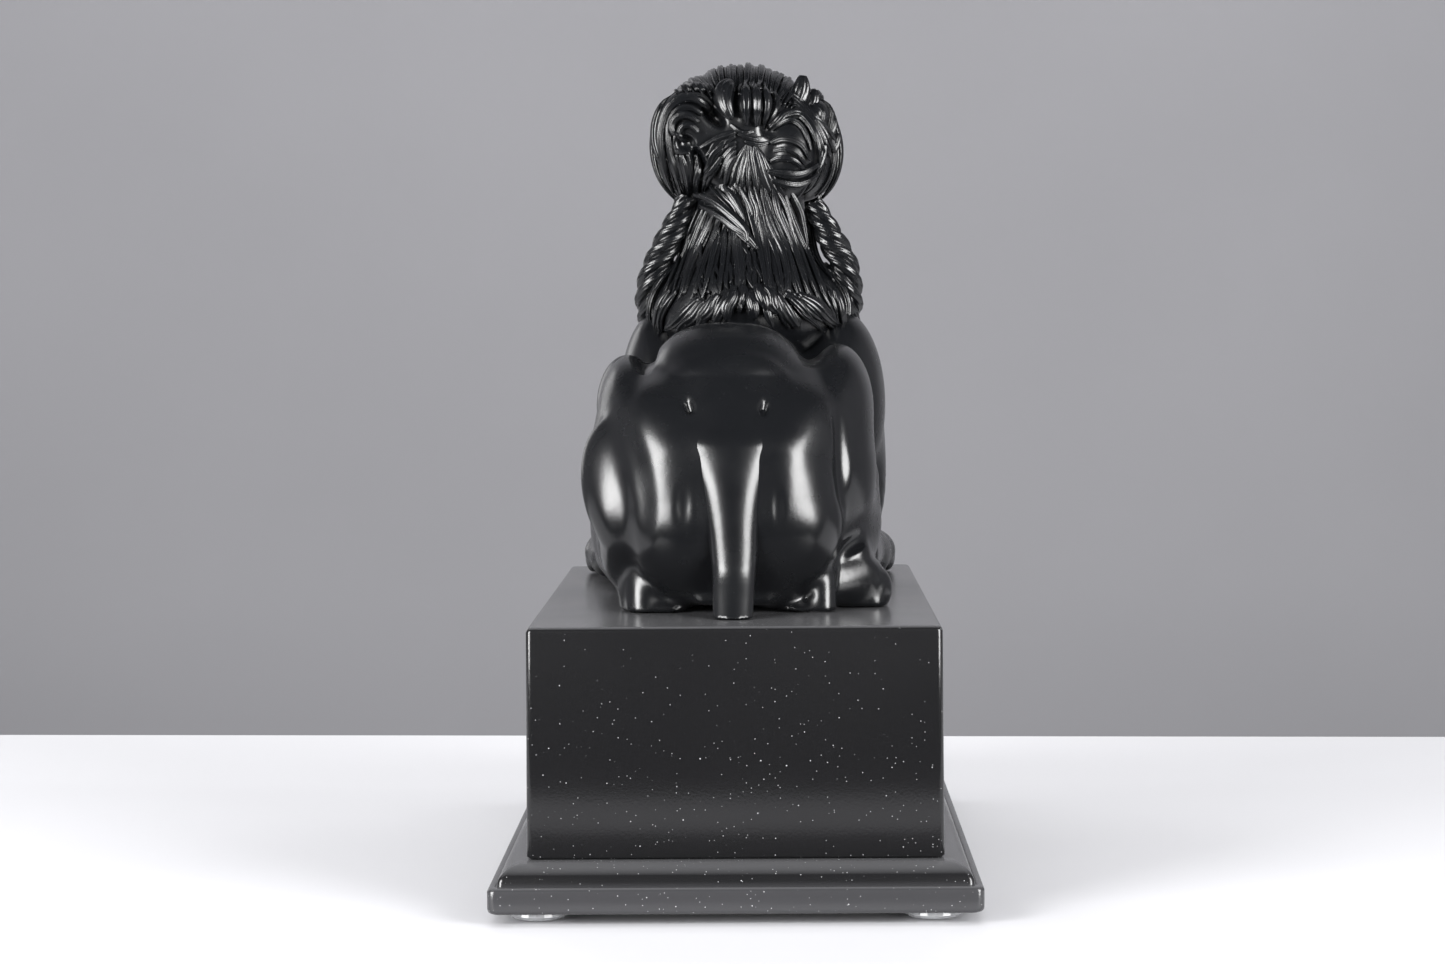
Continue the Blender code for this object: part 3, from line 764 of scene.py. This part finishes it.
def comb(clay, rays, width, thickness=0.7, lift=0.1, jitter=0.15, seed=1, **shape):
    """Lays a lock along each bundle of rays, where they meet the clay."""
    chance = np.random.default_rng(seed)
    taper_shape = {key: shape.pop(key) for key in ("start", "tip", "fullest") if key in shape}
    samples = len(rays[0][0])
    starts = np.concatenate([ray[0] for ray in rays])
    aims = np.concatenate([ray[1] for ray in rays])
    points = clay.hit(starts, aims)
    normals = clay.normal(points)
    # A ray that misses the clay ends off its surface, and its lock is left out.
    missed = np.abs(clay.at(points)) > 0.3
    made = []
    for i in range(len(rays)):
        part = slice(i * samples, (i + 1) * samples)
        if missed[part].any():
            continue
        path, facing = points[part].copy(), normals[part]
        for _ in range(2):
            path[1:-1] = (path[:-2] + 2 * path[1:-1] + path[2:]) / 4
        size = width * (1 + jitter * chance.uniform(-1, 1))
        widths = size * taper(samples, **taper_shape)
        raise_by = lift * size + chance.uniform(-0.2, 0.3) * jitter * size * 3
        sideways = np.cross(np.gradient(path, axis=0), facing)
        sideways /= np.maximum(np.linalg.norm(sideways, axis=1), 1e-6)[:, None]
        wave = np.sin(np.linspace(0, pi * chance.uniform(1, 3), samples) + chance.uniform(0, tau))
        path = path + facing * raise_by + sideways * (wave * jitter * size * 0.5)[:, None]
        made.append(rope(path, facing, widths, thickness, **shape))
    return made


def strands(clay, paths, *sizes, samples=22, **shape):
    """Combs locks along paths given as (x, h), seen from behind."""
    return comb(clay, [seen_from_behind(path, samples) for path in paths], *sizes, **shape)


def lock(points, facing, samples, size, tapering, thickness, **shape):
    """A lock through the points themselves. tapering is its start, tip and fullest."""
    widths = size * taper(samples, *tapering)
    return rope(spline(points, samples), np.tile(facing, (samples, 1)), widths, thickness, **shape)


def hair_piece(name, parts, look, *nodes):
    make_piece(name, *gather(parts), look, *nodes)


# Guide lines of the mane, seen from behind, as (x, h) from the nape to the hem.
MANE_GUIDES = {
    "left_edge": ((10.5, 118), (14, 109), (18, 99), (22, 89)),
    "left_inner": ((6.0, 115), (8.8, 107), (12, 98), (15, 89)),
    "middle_left": ((2, 109), (4, 103), (6, 96), (7.5, 89)),
    "middle_right": ((-4, 121), (-6.5, 112), (-9, 101), (-10.5, 89)),
    "right_inner": ((-10, 121), (-14, 110), (-18.5, 98), (-22, 88)),
    "right_edge": ((-17, 119), (-21, 105), (-25.5, 94), (-30, 86)),
}


def sculpt_mane():
    clay = Clay((-52, -84, 34), (44, 26, 128), 0.85)
    clay.add(limb(((LEAN, -23, 123), (LEAN, -21.5, 110), (LEAN, -19.5, 98), (LEAN, -16, 86)),
                  (16.5, 17.5, 19, 19), 10), 1)
    clay.add(egg((LEAN, -16, 83.5), (30, 25.5, 18)), 7)
    clay.add(egg((LEAN, -46, 80), (25, 18, 32)), 8)
    clay.add(egg((LEAN, -54, 60), (17, 12, 22)), 8)
    clay.cut(limb(((4.5, -4, 116), (1.5, -2, 112.5), (-2, 0, 110)), (1.2, 1.8, 1.0)), 2)
    return clay


def make_mane(gloss):
    clay = sculpt_mane()
    make_piece("mane_underhair", *clay.mesh(), gloss, "mane_casting")

    chance = np.random.default_rng(8)
    back = []
    for first, last, count in (
        ("left_edge", "left_inner", 4),
        ("left_inner", "middle_left", 3),
        ("middle_left", "middle_right", 5),
        ("middle_right", "right_inner", 5),
        ("right_inner", "right_edge", 4),
    ):
        back += between(MANE_GUIDES[first], MANE_GUIDES[last], count)[:-1]
    back = [path + chance.uniform(-0.5, 0.5, path.shape) for path in back]
    parts = strands(clay, back, 1.5, 0.8, 0.3, 0.35, 3, samples=30, ridges=7, start=0.15, tip=0.35)
    second = [path + (1.4, -2.0) for path in back]
    parts += strands(clay, second, 0.85, 0.9, 0.9, 0.4, 4, ridges=4, start=0.1, tip=0.2)
    nape = between(((7.0, 121.5), (2.6, 116), (-1.4, 111)), ((-4, 121.5), (-5.5, 115), (-6.5, 108)), 6)
    nape += between(((-2.5, 121), (-4.5, 113), (-7, 103)), ((-15, 121), (-18, 112.5), (-21, 101)), 9)
    nape = [path + chance.uniform(-0.5, 0.5, path.shape) for path in nape]
    parts += strands(clay, nape, 1.1, 0.9, 0.9, 0.4, 12, ridges=5, start=0.1, tip=0.2)
    ridge = between(((10, 119), (5.8, 116.8), (1.4, 111.6), (-2.6, 107.4), (-4.6, 102.6)),
                    ((8.2, 114.5), (4.6, 113), (0.6, 109), (-3.2, 105), (-6, 101)), 4)
    ridge = [path + chance.uniform(-0.7, 0.7, path.shape) for path in ridge + ridge[1:]]
    parts += strands(clay, ridge, 1.15, 0.95, 1.5, 0.5, 5, samples=30, ridges=5, tip=0.4, fullest=0.6)
    # The middle is matted: short tufts that cross each other.
    matted = []
    for _ in range(110):
        x, h, slant = chance.uniform(-17, 12), chance.uniform(90, 106), chance.uniform(-3.5, 3.5)
        matted.append(((x, h), (x + slant * 0.4, h - 3), (x + slant, h - 6.5)))
    parts += strands(clay, matted, 0.5, 0.9, 1.2, 0.5, 7, samples=12, ridges=4, start=0.1, tip=0.1)
    # The hem's tufts sweep outwards and down.
    hem = []
    for number in range(30):
        x = -20.5 + number * 1.17 + chance.uniform(-0.8, 0.8)
        out = (x + 3.5) / 15
        top = 90 - 3.0 * abs(out) + chance.uniform(-1.5, 1.5)
        drop = 7.5 + 1.5 * abs(out) + chance.uniform(-1.5, 1.5)
        hem.append(((x, top), (x + 6.0 * out, top - 0.5 * drop), (x + 12.0 * out, top - drop)))
    parts += strands(clay, hem, 1.6, 0.85, 0.8, 0.4, 6, samples=14, ridges=6, tip=0.1, fullest=0.5)
    side = between(((17.5, 90), (21.5, 83), (22.5, 76)), ((27, 88), (28.5, 81), (28, 75)), 10)
    side += between(((-24, 91), (-27.5, 83), (-29, 76)), ((-33.5, 88), (-35, 81), (-34.6, 75)), 10)
    side = [path + chance.uniform(-0.6, 0.6, path.shape) for path in side]
    parts += strands(clay, side, 1.2, 0.85, 0.7, 0.5, 9, samples=14, ridges=5, start=0.2, tip=0.2)
    hair_piece("mane_back_locks", parts, gloss)

    parts = []
    for top, bottom, seed in ((114, 92, 11), (98, 76, 12), (84, 60, 13)):
        rays = []
        for side in (1, -1):
            for number in range(7):
                angle = side * (62 + number * 9)
                sway = 4 * sin(number * 2.3 + seed)
                waist = (top + bottom) / 2 + 3
                rays.append(round_axis(((angle, top), (angle + sway, waist), (angle - sway, bottom))))
        parts += comb(clay, rays, 2.1, 0.7, 0.4, 0.3, seed, ridges=7, tip=0.1)
    hair_piece("mane_side_locks", parts, gloss)

    # Rows of snail curls over the chest.
    parts = []
    rows = ((104, 4, 7.0), (94, 4, 7.0), (84, 3, 7.6), (74, 3, 7.4), (64, 2, 7.4), (54, 2, 6.6))
    for row, (h, half, gap) in enumerate(rows):
        across = [(number + (0.5 if row % 2 else 0.0)) * gap for number in range(-half, half + 1)]
        across = [dx for dx in across if abs(dx) <= half * gap]
        spots = clay.hit([(LEAN + dx, -110, h) for dx in across], [(0, 1, 0)] * len(across), 70)
        normals = clay.normal(spots)
        for number, (dx, spot, normal) in enumerate(zip(across, spots, normals)):
            spin = 1 if dx > 0 else -1
            parts.append(curl(spot + normal * 0.6, normal, 4.7, spin, start=number * 0.7 + row))
    hair_piece("chest_curls", parts, gloss)


LOCK_LEFT = ((14, -16, 118), (16.5, -15, 112.5), (19, -15, 107.5), (22, -15, 101.5), (24.8, -15, 95.5),
             (26.4, -16, 90), (26.8, -19, 85), (26, -25, 79), (24, -36, 71), (22, -47, 61))
LOCK_RIGHT = ((-23.5, -16, 116), (-26, -15, 111), (-28.4, -14, 106), (-31, -14, 101.5), (-33.2, -14, 96.5),
              (-34.4, -15, 91), (-34.9, -18, 86), (-34.2, -24, 80), (-32, -35, 72), (-30, -46, 62))


def make_twisted_locks(look):
    """Each lock is a rope of four fat strands, thinning towards the chest."""
    count, pitch = 200, 25.0
    for side, points, hand in (("left", LOCK_LEFT, -1), ("right", LOCK_RIGHT, 1)):
        core = spline(points, count)
        length = np.linalg.norm(np.diff(core, axis=0), axis=1).sum()
        size = 4.5 * taper(count, 0.75, 0.45, 0.3)
        facing = np.tile((0.0, 1.0, 0.3), (count, 1))
        part = rope(core, facing, size, 0.9, ridges=4, groove=0.42, turns=hand * length / pitch, hairs=18)
        make_piece(f"lion_twisted_lock_{side}", *part, look, f"twisted_lock_{side}")


def sculpt_head():
    clay = Clay((-42, -86, 100), (36, 6, 166), 0.7)
    clay.add(egg((-2, -31, 135.2), (24.0, 26, 22.3)), 1)
    clay.add(egg((-21.5, -28, 131), (9.0, 16, 13.5)), 6)
    clay.add(egg((13.5, -26, 133), (9.8, 15, 15)), 6)
    # Masses that the tied hair lies on.
    clay.add(egg((12.6, -12.5, 137), (11.4, 7.5, 14)), 4)
    clay.add(egg((-17, -13, 131.5), (8.0, 8, 10)), 2.5)
    clay.add(egg((-5.5, -10.5, 144.5), (7.0, 7, 6.2)), 2)
    clay.add(egg((-7, -13, 123), (14, 7, 10)), 5)
    clay.add(egg((-25.0, -24, 143), (4.2, 8, 4.8)), 2)
    clay.cut(egg((6.4, -5.5, 142.4), (2.0, 5.5, 4.8), (0, 44, 0)), 1.5)
    clay.cut(egg((14.6, -5.8, 134.2), (2.4, 2.4, 2.2)), 1.5)
    clay.cut(egg((-15.5, -5, 145.6), (4.4, 5, 1.9), (0, -20, 0)), 1.5)
    clay.cut(egg((10.4, -6.5, 127.5), (1.8, 3.5, 5.5), (0, 18, 0)), 1.5)
    clay.cut(egg((-10.4, -4.6, 138), (2.4, 3.6, 2.4)), 1.5)
    return clay


def sculpt_face(clay):
    """A guardian lion's face: heavy brows, round eyes, a broad nose, an open mouth and small ears."""
    for side in (1, -1):
        def at(dx, y, h):
            return (LEAN + side * dx, y, h)

        clay.add(egg(at(14, -50, 127), (9, 10, 9)), 4)
        clay.add(egg(at(5.6, -65, 126.5), (7.2, 9, 6.2), (0, side * 8, 0)), 2)
        clay.add(limb((at(2.5, -60, 143.5), at(8, -61.5, 147), at(15, -57, 147.5), at(20, -50, 143)),
                      (2.6, 3.4, 3.2, 2.2)), 1.5)
        clay.add(egg(at(9.2, -57.5, 139.6), (4.7, 4.6, 4.5)), 1)
        clay.add(limb((at(4.4, -59.5, 138.2), at(9.2, -61.4, 135.4), at(14, -57.4, 137.6)),
                      (0.9, 1.1, 0.9)), 0.8)
        clay.cut(egg(at(9.2, -62.4, 139.8), (1.2, 1.2, 1.2)), 0.5)
        clay.add(egg(at(4.4, -71.5, 133), (3.2, 3.6, 2.8)), 1.2)
        clay.cut(egg(at(4.4, -75.2, 132), (1.3, 1.8, 1.0)), 0.6)
        # Ears, pricked sideways, with a hollow towards the front.
        clay.add(egg(at(17.5, -41, 146.5), (3.4, 5.2, 6.0), (0, side * 32, side * -20)), 2)
        clay.cut(egg(at(18.3, -46.4, 147), (1.9, 2.6, 4.0), (0, side * 32, side * -20)), 0.8)
    clay.add(egg((LEAN, -57, 127), (12, 12, 9.5)), 4)
    clay.add(limb(((LEAN, -55, 143), (LEAN, -63, 137.5), (LEAN, -69, 134)), (4.2, 4.0, 3.8)), 3)
    clay.add(egg((LEAN, -72.5, 133.4), (4.2, 3.6, 3.4)), 1.5)
    clay.add(egg((LEAN, -60, 113.5), (9.5, 10, 5.0)), 3)
    clay.cut(egg((LEAN, -68, 119.2), (10.5, 12, 2.7)), 1)
    clay.add(egg((LEAN, -60, 117.6), (5, 9.5, 1.6)), 0.8)
    return clay


def curl(centre, facing, radius, spin=1, turns=1.9, start=0.0):
    """A snail-shell curl of hair lying flat against facing."""
    count = 46
    facing = np.array(facing, float)
    facing /= np.linalg.norm(facing)
    side = np.cross((0.0, 0.0, 1.0), facing)
    side /= np.linalg.norm(side)
    up = np.cross(facing, side)
    s = np.linspace(0, 1, count)
    a = spin * (start + turns * tau * s)
    r = radius * (1 - 0.86 * s)
    path = np.array(centre) + side * (r * np.cos(a))[:, None] + up * (r * np.sin(a))[:, None]
    path = path + facing * (radius * 0.55 * s)[:, None]
    widths = radius * (0.27 - 0.06 * s) * taper(count, 0.4, 0.6, 0.2)
    return rope(path, np.tile(facing, (count, 1)), widths, 1.0, ridges=5, groove=0.2)


def make_face_details(look):
    """Teeth above and below, cheek curls and the beard."""
    ahead = (0.0, -1.0, 0.0)
    parts = []
    for side in (1, -1):
        for dx, y, top, length, size in ((1.3, -72.5, 121.6, 2.4, 1.1), (3.6, -72.0, 121.6, 2.4, 1.1),
                                         (6.6, -70.0, 122.2, 4.6, 1.5), (8.6, -66.0, 121.8, 2.4, 1.1)):
            x = LEAN + side * dx
            path = ((x, y, top), (x, y - 0.3, top - length / 2), (x, y + 0.2, top - length))
            parts.append(lock(path, ahead, 10, size, (0.8, 0.25, 0.3), 0.9, ridges=3, groove=0.05))
        x = LEAN + side * 6.0
        path = ((x, -66.5, 116.2), (x, -67, 118), (x, -66.6, 120))
        parts.append(lock(path, ahead, 10, 1.3, (0.8, 0.2, 0.3), 0.9, ridges=3, groove=0.05))
    hair_piece("lion_teeth", parts, look)

    parts = []
    for side in (1, -1):
        ring = ((21, -47, 135, 5.0), (20.5, -50, 125.5, 5.4), (17.5, -54, 116.5, 5.2),
                (21.5, -40, 141.0, 4.4), (21.5, -42, 130, 5.0), (18.5, -45, 119.5, 5.0),
                (10.5, -57, 109.5, 4.8))
        for number, (dx, y, h, radius) in enumerate(ring):
            facing = (side * dx * 0.035, -0.8 if dx < 22 else -0.35, 0.05)
            parts.append(curl((LEAN + side * dx, y, h), facing, radius, side, start=number * 0.9))
    hair_piece("cheek_curls", parts, look)

    parts = []
    for number in range(9):
        across = (number - 4) * 2.3
        drop = 17 - abs(across) * 0.8
        path = ((LEAN + across, -66.5 + abs(across) * 0.3, 112.5), (LEAN + across * 1.1, -69, 106),
                (LEAN + across * 1.35, -64, 112 - drop))
        parts.append(lock(path, (0.0, -1.0, 0.2), 26, 1.9, (0.6, 0.15, 0.4), 0.8, ridges=6))
    for side in (1, -1):
        parts.append(curl((LEAN + side * 5.5, -66, 95), (side * 0.2, -1, 0.1), 4.2, side, start=1.2))
    hair_piece("beard", parts, look)


def make_crown(clay, look):
    """Two layers of strands combed back over the top of the head."""
    crown = between(((40, 46), (90, 50), (128, 40), (146, 30)),
                    ((40, -50), (90, -54), (128, -44), (146, -34)), 22)
    rays = [over_head(path, 34) for path in crown]
    parts = comb(clay, rays, 1.55, 0.8, 0.3, 0.35, 21, ridges=6, tip=0.4, start=0.6)
    rays = [over_head(path + (6, 2.2), 34) for path in crown]
    parts += comb(clay, rays, 0.85, 0.9, 1.2, 0.4, 22, ridges=4, tip=0.2)
    hair_piece("crown_hair", parts, look)


def make_left_roll(clay, look):
    """Bands that rise from the knot, go round and come down beside the ear."""
    rolls = [
        ((3.0, 146.6), (7.2, 149.3), (11.2, 150.2), (14.8, 149.2), (18.6, 145.4), (21.4, 139.8),
         (22.4, 133.5), (22.0, 127), (19.0, 120.5)),
        ((6.4, 145.6), (10.0, 147.8), (13.6, 147.8), (17.0, 145.8), (19.8, 141.6), (21.2, 136.5),
         (21.2, 130.5), (18.6, 123)),
        ((8.8, 144.6), (12, 146.6), (15.2, 146.6), (18.2, 144.6), (20.2, 140.8), (21, 135.5), (20.2, 129),
         (17.5, 121)),
        ((9.8, 142.4), (12.8, 144.4), (16.0, 144.2), (18.6, 141.6), (19.4, 137.5), (18.9, 131),
         (16.6, 124.5), (15, 120)),
        ((10.6, 140.0), (13.4, 142), (16.4, 141.8), (18.0, 139.6), (17.6, 137.2), (15.6, 136.8)),
        ((10.6, 137.2), (12.8, 139.2), (15.4, 139.0), (16.4, 136.6), (15.2, 134.8)),
    ]
    parts = []
    sizes, lifts = (1.9, 1.3, 1.6, 1.3, 1.35, 1.1), (0.9, 0.3, 1.2, 0.5, 1.3, 1.0)
    for number, (path, size, lift) in enumerate(zip(rolls, sizes, lifts)):
        parts += strands(clay, [path], size, 1.1, lift, 0.06, 30 + number, samples=48, ridges=8,
                         groove=0.2, tip=0.3)
    falls = between(((20.4, 131), (18.6, 126), (16.5, 118)), ((12.5, 131), (11.8, 125.5), (11.6, 118)), 6)
    parts += strands(clay, falls, 1.1, 0.9, 0.6, 0.3, 36, ridges=5, tip=0.3)
    sweep = between(((-0.5, 137.4), (4.6, 135.6), (10.4, 132.6)),
                    ((-0.6, 130.5), (1.6, 127), (2.8, 121.5)), 6)
    parts += strands(clay, sweep, 1.2, 0.85, 0.8, 0.3, 37, ridges=5, tip=0.3)
    tangle = between(((2.5, 136.5), (6.5, 133), (8, 128)), ((4, 128.5), (7, 124), (9.6, 119)), 5)
    parts += strands(clay, tangle, 0.8, 0.9, 1.6, 0.4, 38, ridges=4, tip=0.2)
    hair_piece("bow_left_roll", parts, look, "hair_bow")


def make_knot(clay, look):
    """Upright lobes that wrap the tie, the left one large and smooth."""
    lobes = (((0.4, 149.8), (0.8, 146), (-0.4, 140.8), 3.3),
             ((-3.6, 150.6), (-3.8, 146), (-3.8, 139), 1.6),
             ((-6.4, 150.6), (-6.8, 145), (-6.4, 138.8), 1.5),
             ((-8.9, 150.2), (-9.6, 145), (-8.2, 138.8), 1.4),
             ((-11.2, 149), (-12, 145), (-9.6, 139.6), 1.4))
    parts = []
    for number, (*path, size) in enumerate(lobes):
        lift = 1.0 if number == 0 else 0.6
        parts += strands(clay, [path], size, 0.85, lift, 0.05, 50 + number, ridges=7, groove=0.14,
                         start=0.45, tip=0.15)
    under = between(((1.5, 139.5), (-3, 137), (-6, 137.6)), ((-3, 134.5), (-7, 133.4), (-11, 134.6)), 3)
    parts += strands(clay, under, 0.8, 0.9, 0.5, 0.4, 56, ridges=5, tip=0.3)
    hair_piece("bow_knot", parts, look)


def make_right_loop(clay, look):
    """Level strands round a smooth bulge, the band that sweeps over it, its leaves and the fan below."""
    loops = [
        ((-10.2, 139), (-13, 141.4), (-16.7, 142.2), (-20, 141.0), (-22.6, 137.4), (-24.0, 132.8),
         (-24.4, 128)),
        ((-11.4, 138.0), (-14, 139.8), (-17.0, 140.3), (-19.6, 138.8), (-21.4, 135.4), (-22.4, 131.4)),
        ((-10.6, 133.9), (-15.2, 134.8), (-19.6, 133.2), (-22, 129.0)),
        ((-11.5, 131.5), (-15, 132), (-18.4, 130.9), (-21, 127.4)),
        ((-10.6, 128.4), (-14, 129.4), (-17.6, 128.8), (-20.4, 126.4)),
        ((-9.7, 125.6), (-15.2, 125.0), (-19.8, 125.2), (-24.4, 128.2)),
        ((-10.6, 122.9), (-16.1, 121.9), (-19.8, 122.4), (-24.4, 125.6)),
    ]
    parts = []
    sizes = (1.7, 1.0, 1.15, 0.9, 1.0, 1.5, 1.3)
    for number, (path, size) in enumerate(zip(loops, sizes)):
        parts += strands(clay, [path], size, 0.9, 0.8, 0.08, 60 + number, samples=34, ridges=6, tip=0.4)
    band = between(((-15.4, 149.4), (-20, 145.6), (-25, 141.0), (-30.2, 133.5)),
                   ((-17.6, 144.8), (-21.6, 140.4), (-24.8, 135.4), (-27.0, 128)), 4)
    parts += strands(clay, band, 1.5, 0.8, 0.7, 0.2, 70, samples=30, ridges=6, tip=0.4)
    leaves = (((-17.6, 144.5), (-20.0, 149.6), (-20.8, 154.8), 3.2),
              ((-21.4, 142.5), (-23.4, 146.6), (-24.4, 150.6), 2.6),
              ((-24.8, 139.8), (-26.2, 143), (-27.2, 146.4), 2.4),
              ((-27.2, 136), (-29.0, 139), (-30.2, 142.2), 2.2),
              ((-28.4, 131), (-30.0, 134), (-31.4, 137.5), 2.2))
    for *path, width in leaves:
        points = [(x, -17 - abs(x + 16) * 0.4, h) for x, h in path]
        facing, tapering = (-0.1, 0.85, 0.5), (0.7, 0.4, 0.5)
        parts.append(lock(points, facing, 16, 0.9 * width, tapering, 0.7, ridges=7, groove=0.14))
    fan = between(((-3.4, 134), (-0.5, 127), (2.5, 117)), ((-6.5, 133), (-12, 125), (-19, 116)), 10)
    hair_piece("bow_right_loop", parts, look)
    parts = strands(clay, fan, 1.3, 0.6, 0.2, 0.35, 71, ridges=5, start=0.2, tip=0.2)
    hair_piece("bow_fan", parts, look)


def make_side_hair(clay, look):
    """Locks that hang down both sides of the head."""
    parts = []
    for side in (1, -1):
        rays = []
        for number in range(9):
            angle = side * (52 + number * 9)
            sway = 4 * sin(number * 1.9 + side)
            rays.append(round_axis(((angle, 150), (angle + sway, 136), (angle - side * 3, 119)), 26,
                                   (-3, -31)))
        parts += comb(clay, rays, 1.7, 0.75, 0.3, 0.4, 80 + side, ridges=6, tip=0.25)
    hair_piece("side_hair", parts, look)


def make_head(gloss, dull):
    clay = sculpt_face(sculpt_head())
    make_piece("lion_head", *clay.mesh(), dull, "head_casting")
    make_face_details(dull)
    make_crown(clay, gloss)
    make_left_roll(clay, gloss)
    make_knot(clay, gloss)
    make_right_loop(clay, gloss)
    make_side_hair(clay, gloss)


# ---------------------------------------------------------------- stage


def stage_plane(name, corners, look):
    mesh = bpy.data.meshes.new(name)
    mesh.from_pydata(corners, [], [(0, 1, 2, 3)])
    mesh.materials.append(look)
    obj = bpy.data.objects.new(name, mesh)
    bpy.context.scene.collection.objects.link(obj)
    return obj


def plain_look(name, colour, roughness, mottle):
    low, high = (tuple(value * (1 + change) for value in colour) for change in (-mottle, mottle))
    return mottled_look(name, low, high, 3.0, roughness, detail=5.0)


def make_stage():
    """A white table whose far edge shows behind the statue, more floor on the near side, and grey walls."""
    table = plain_look("table_white", TABLE_COLOUR, 0.6, 0.01)
    wall = plain_look("wall_grey", WALL_COLOUR, 0.9, 0.02)
    side, near, far = 1.9, 1.9, -1.7
    skew = side * TABLE_SKEW
    far_left, far_right = (side, TABLE_FAR_Y - skew), (-side, TABLE_FAR_Y + skew)
    cut = TABLE_NEAR_Y
    stage_plane("table_top", [(*far_right, 0), (*far_left, 0), (side, cut, 0), (-side, cut, 0)], table)
    corners = [(-side, cut, 0), (side, cut, 0), (side, near, 0), (-side, near, 0)]
    stage_plane("table_near", corners, table).visible_glossy = False
    edge = -0.03
    corners = [(*far_right, edge), (*far_left, edge), (*far_left, 0), (*far_right, 0)]
    stage_plane("table_edge", corners, table)
    low, high = -1.0, 2.6
    corners = ((side, far), (-side, far), (-side, near), (side, near))
    for number, (a, b) in enumerate(zip(corners, corners[1:] + corners[:1])):
        obj = stage_plane(f"wall_{number}", [(*a, low), (*b, low), (*b, high), (*a, high)], wall)
        obj.visible_glossy = number != 2


def add_soft_box(name, place, target, size, power, gloss=True):
    lamp = bpy.data.lights.new(name, "AREA")
    lamp.shape = "RECTANGLE"
    lamp.size, lamp.size_y = size
    lamp.energy = power
    obj = bpy.data.objects.new(name, lamp)
    obj.location = place
    obj.rotation_euler = (Vector(target) - Vector(place)).to_track_quat("-Z", "Y").to_euler()
    obj.visible_glossy = gloss
    obj.visible_camera = False
    bpy.context.scene.collection.objects.link(obj)


def make_lights():
    """Two tall soft boxes beside the camera, two faint ones before the face, and washes.

    The fill and the washes show in no gloss.
    """
    heart = (0, 0, 0.14)
    add_soft_box("soft_box_left", (0.95, 0.95, 0.40), heart, (0.62, 0.95), 44)
    add_soft_box("soft_box_right", (-0.95, 0.95, 0.40), heart, (0.62, 0.95), 40)
    add_soft_box("face_fill", (0.2, -1.3, 0.85), heart, (1.0, 0.6), 9, False)
    add_soft_box("face_spark", (0.9, -1.2, 0.45), heart, (0.5, 0.7), 1.6)
    add_soft_box("wall_wash", (0, -0.2, 1.6), (0, -1.7, 0.1), (2.4, 0.6), 26, False)
    add_soft_box("table_wash", (0, 0.35, 1.5), (0, 0.12, 0), (1.8, 0.9), 9, False)
    world = bpy.data.worlds.new("studio")
    world.use_nodes = True
    world.node_tree.nodes["Background"].inputs["Color"].default_value = (0.80, 0.83, 0.9, 1)
    world.node_tree.nodes["Background"].inputs["Strength"].default_value = 0.03
    bpy.context.scene.world = world
    bpy.context.scene.view_settings.view_transform = "Standard"


def make_camera():
    data = bpy.data.cameras.new("camera")
    data.lens = CAMERA_LENS
    data.sensor_width = 36.0
    data.sensor_fit = "HORIZONTAL"
    data.clip_start, data.clip_end = 0.05, 20
    obj = bpy.data.objects.new("camera", data)
    right, up, forward = (Vector(v) for v in (CAMERA_RIGHT, CAMERA_UP, CAMERA_FORWARD))
    turn = Matrix((right, up, -forward)).transposed().to_4x4()
    obj.matrix_world = Matrix.Translation(CAMERA_PLACE) @ turn
    bpy.context.scene.collection.objects.link(obj)
    bpy.context.scene.camera = obj


def dress(look, *nodes):
    """Gives CAD nodes their material."""
    for node in nodes:
        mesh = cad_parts[node].data
        mesh.materials.clear()
        mesh.materials.append(look)


make_camera()
make_stage()
make_lights()
RESIN_LOOK = resin_look()
PLINTH_LOOK = plinth_look()
HAIR_LOOK = hair_look()
make_plinth(PLINTH_LOOK)
dress(mottled_look("clear_bumper", (0.70, 0.71, 0.73), (0.86, 0.87, 0.89), 260.0, 0.22, clear=0.6),
      *(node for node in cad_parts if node.startswith("bumper_foot")))
# The near-black card sheet under the base is painted shadow: it darkens the gap between the feet, where
# there is only shade.
dress(mottled_look("black_card", (0.012, 0.012, 0.012), (0.03, 0.03, 0.03), 400.0, 0.9), "underside_cover")
dress(mottled_look("zinc_steel", (0.42, 0.43, 0.45), (0.62, 0.62, 0.60), 300.0, 0.32, 1.0),
      *(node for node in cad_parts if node.startswith(("fixing_", "base_screw", "neck_dowel"))))
make_body(RESIN_LOOK)
make_mane(HAIR_LOOK)
make_twisted_locks(HAIR_LOOK)
make_head(HAIR_LOOK, RESIN_LOOK)
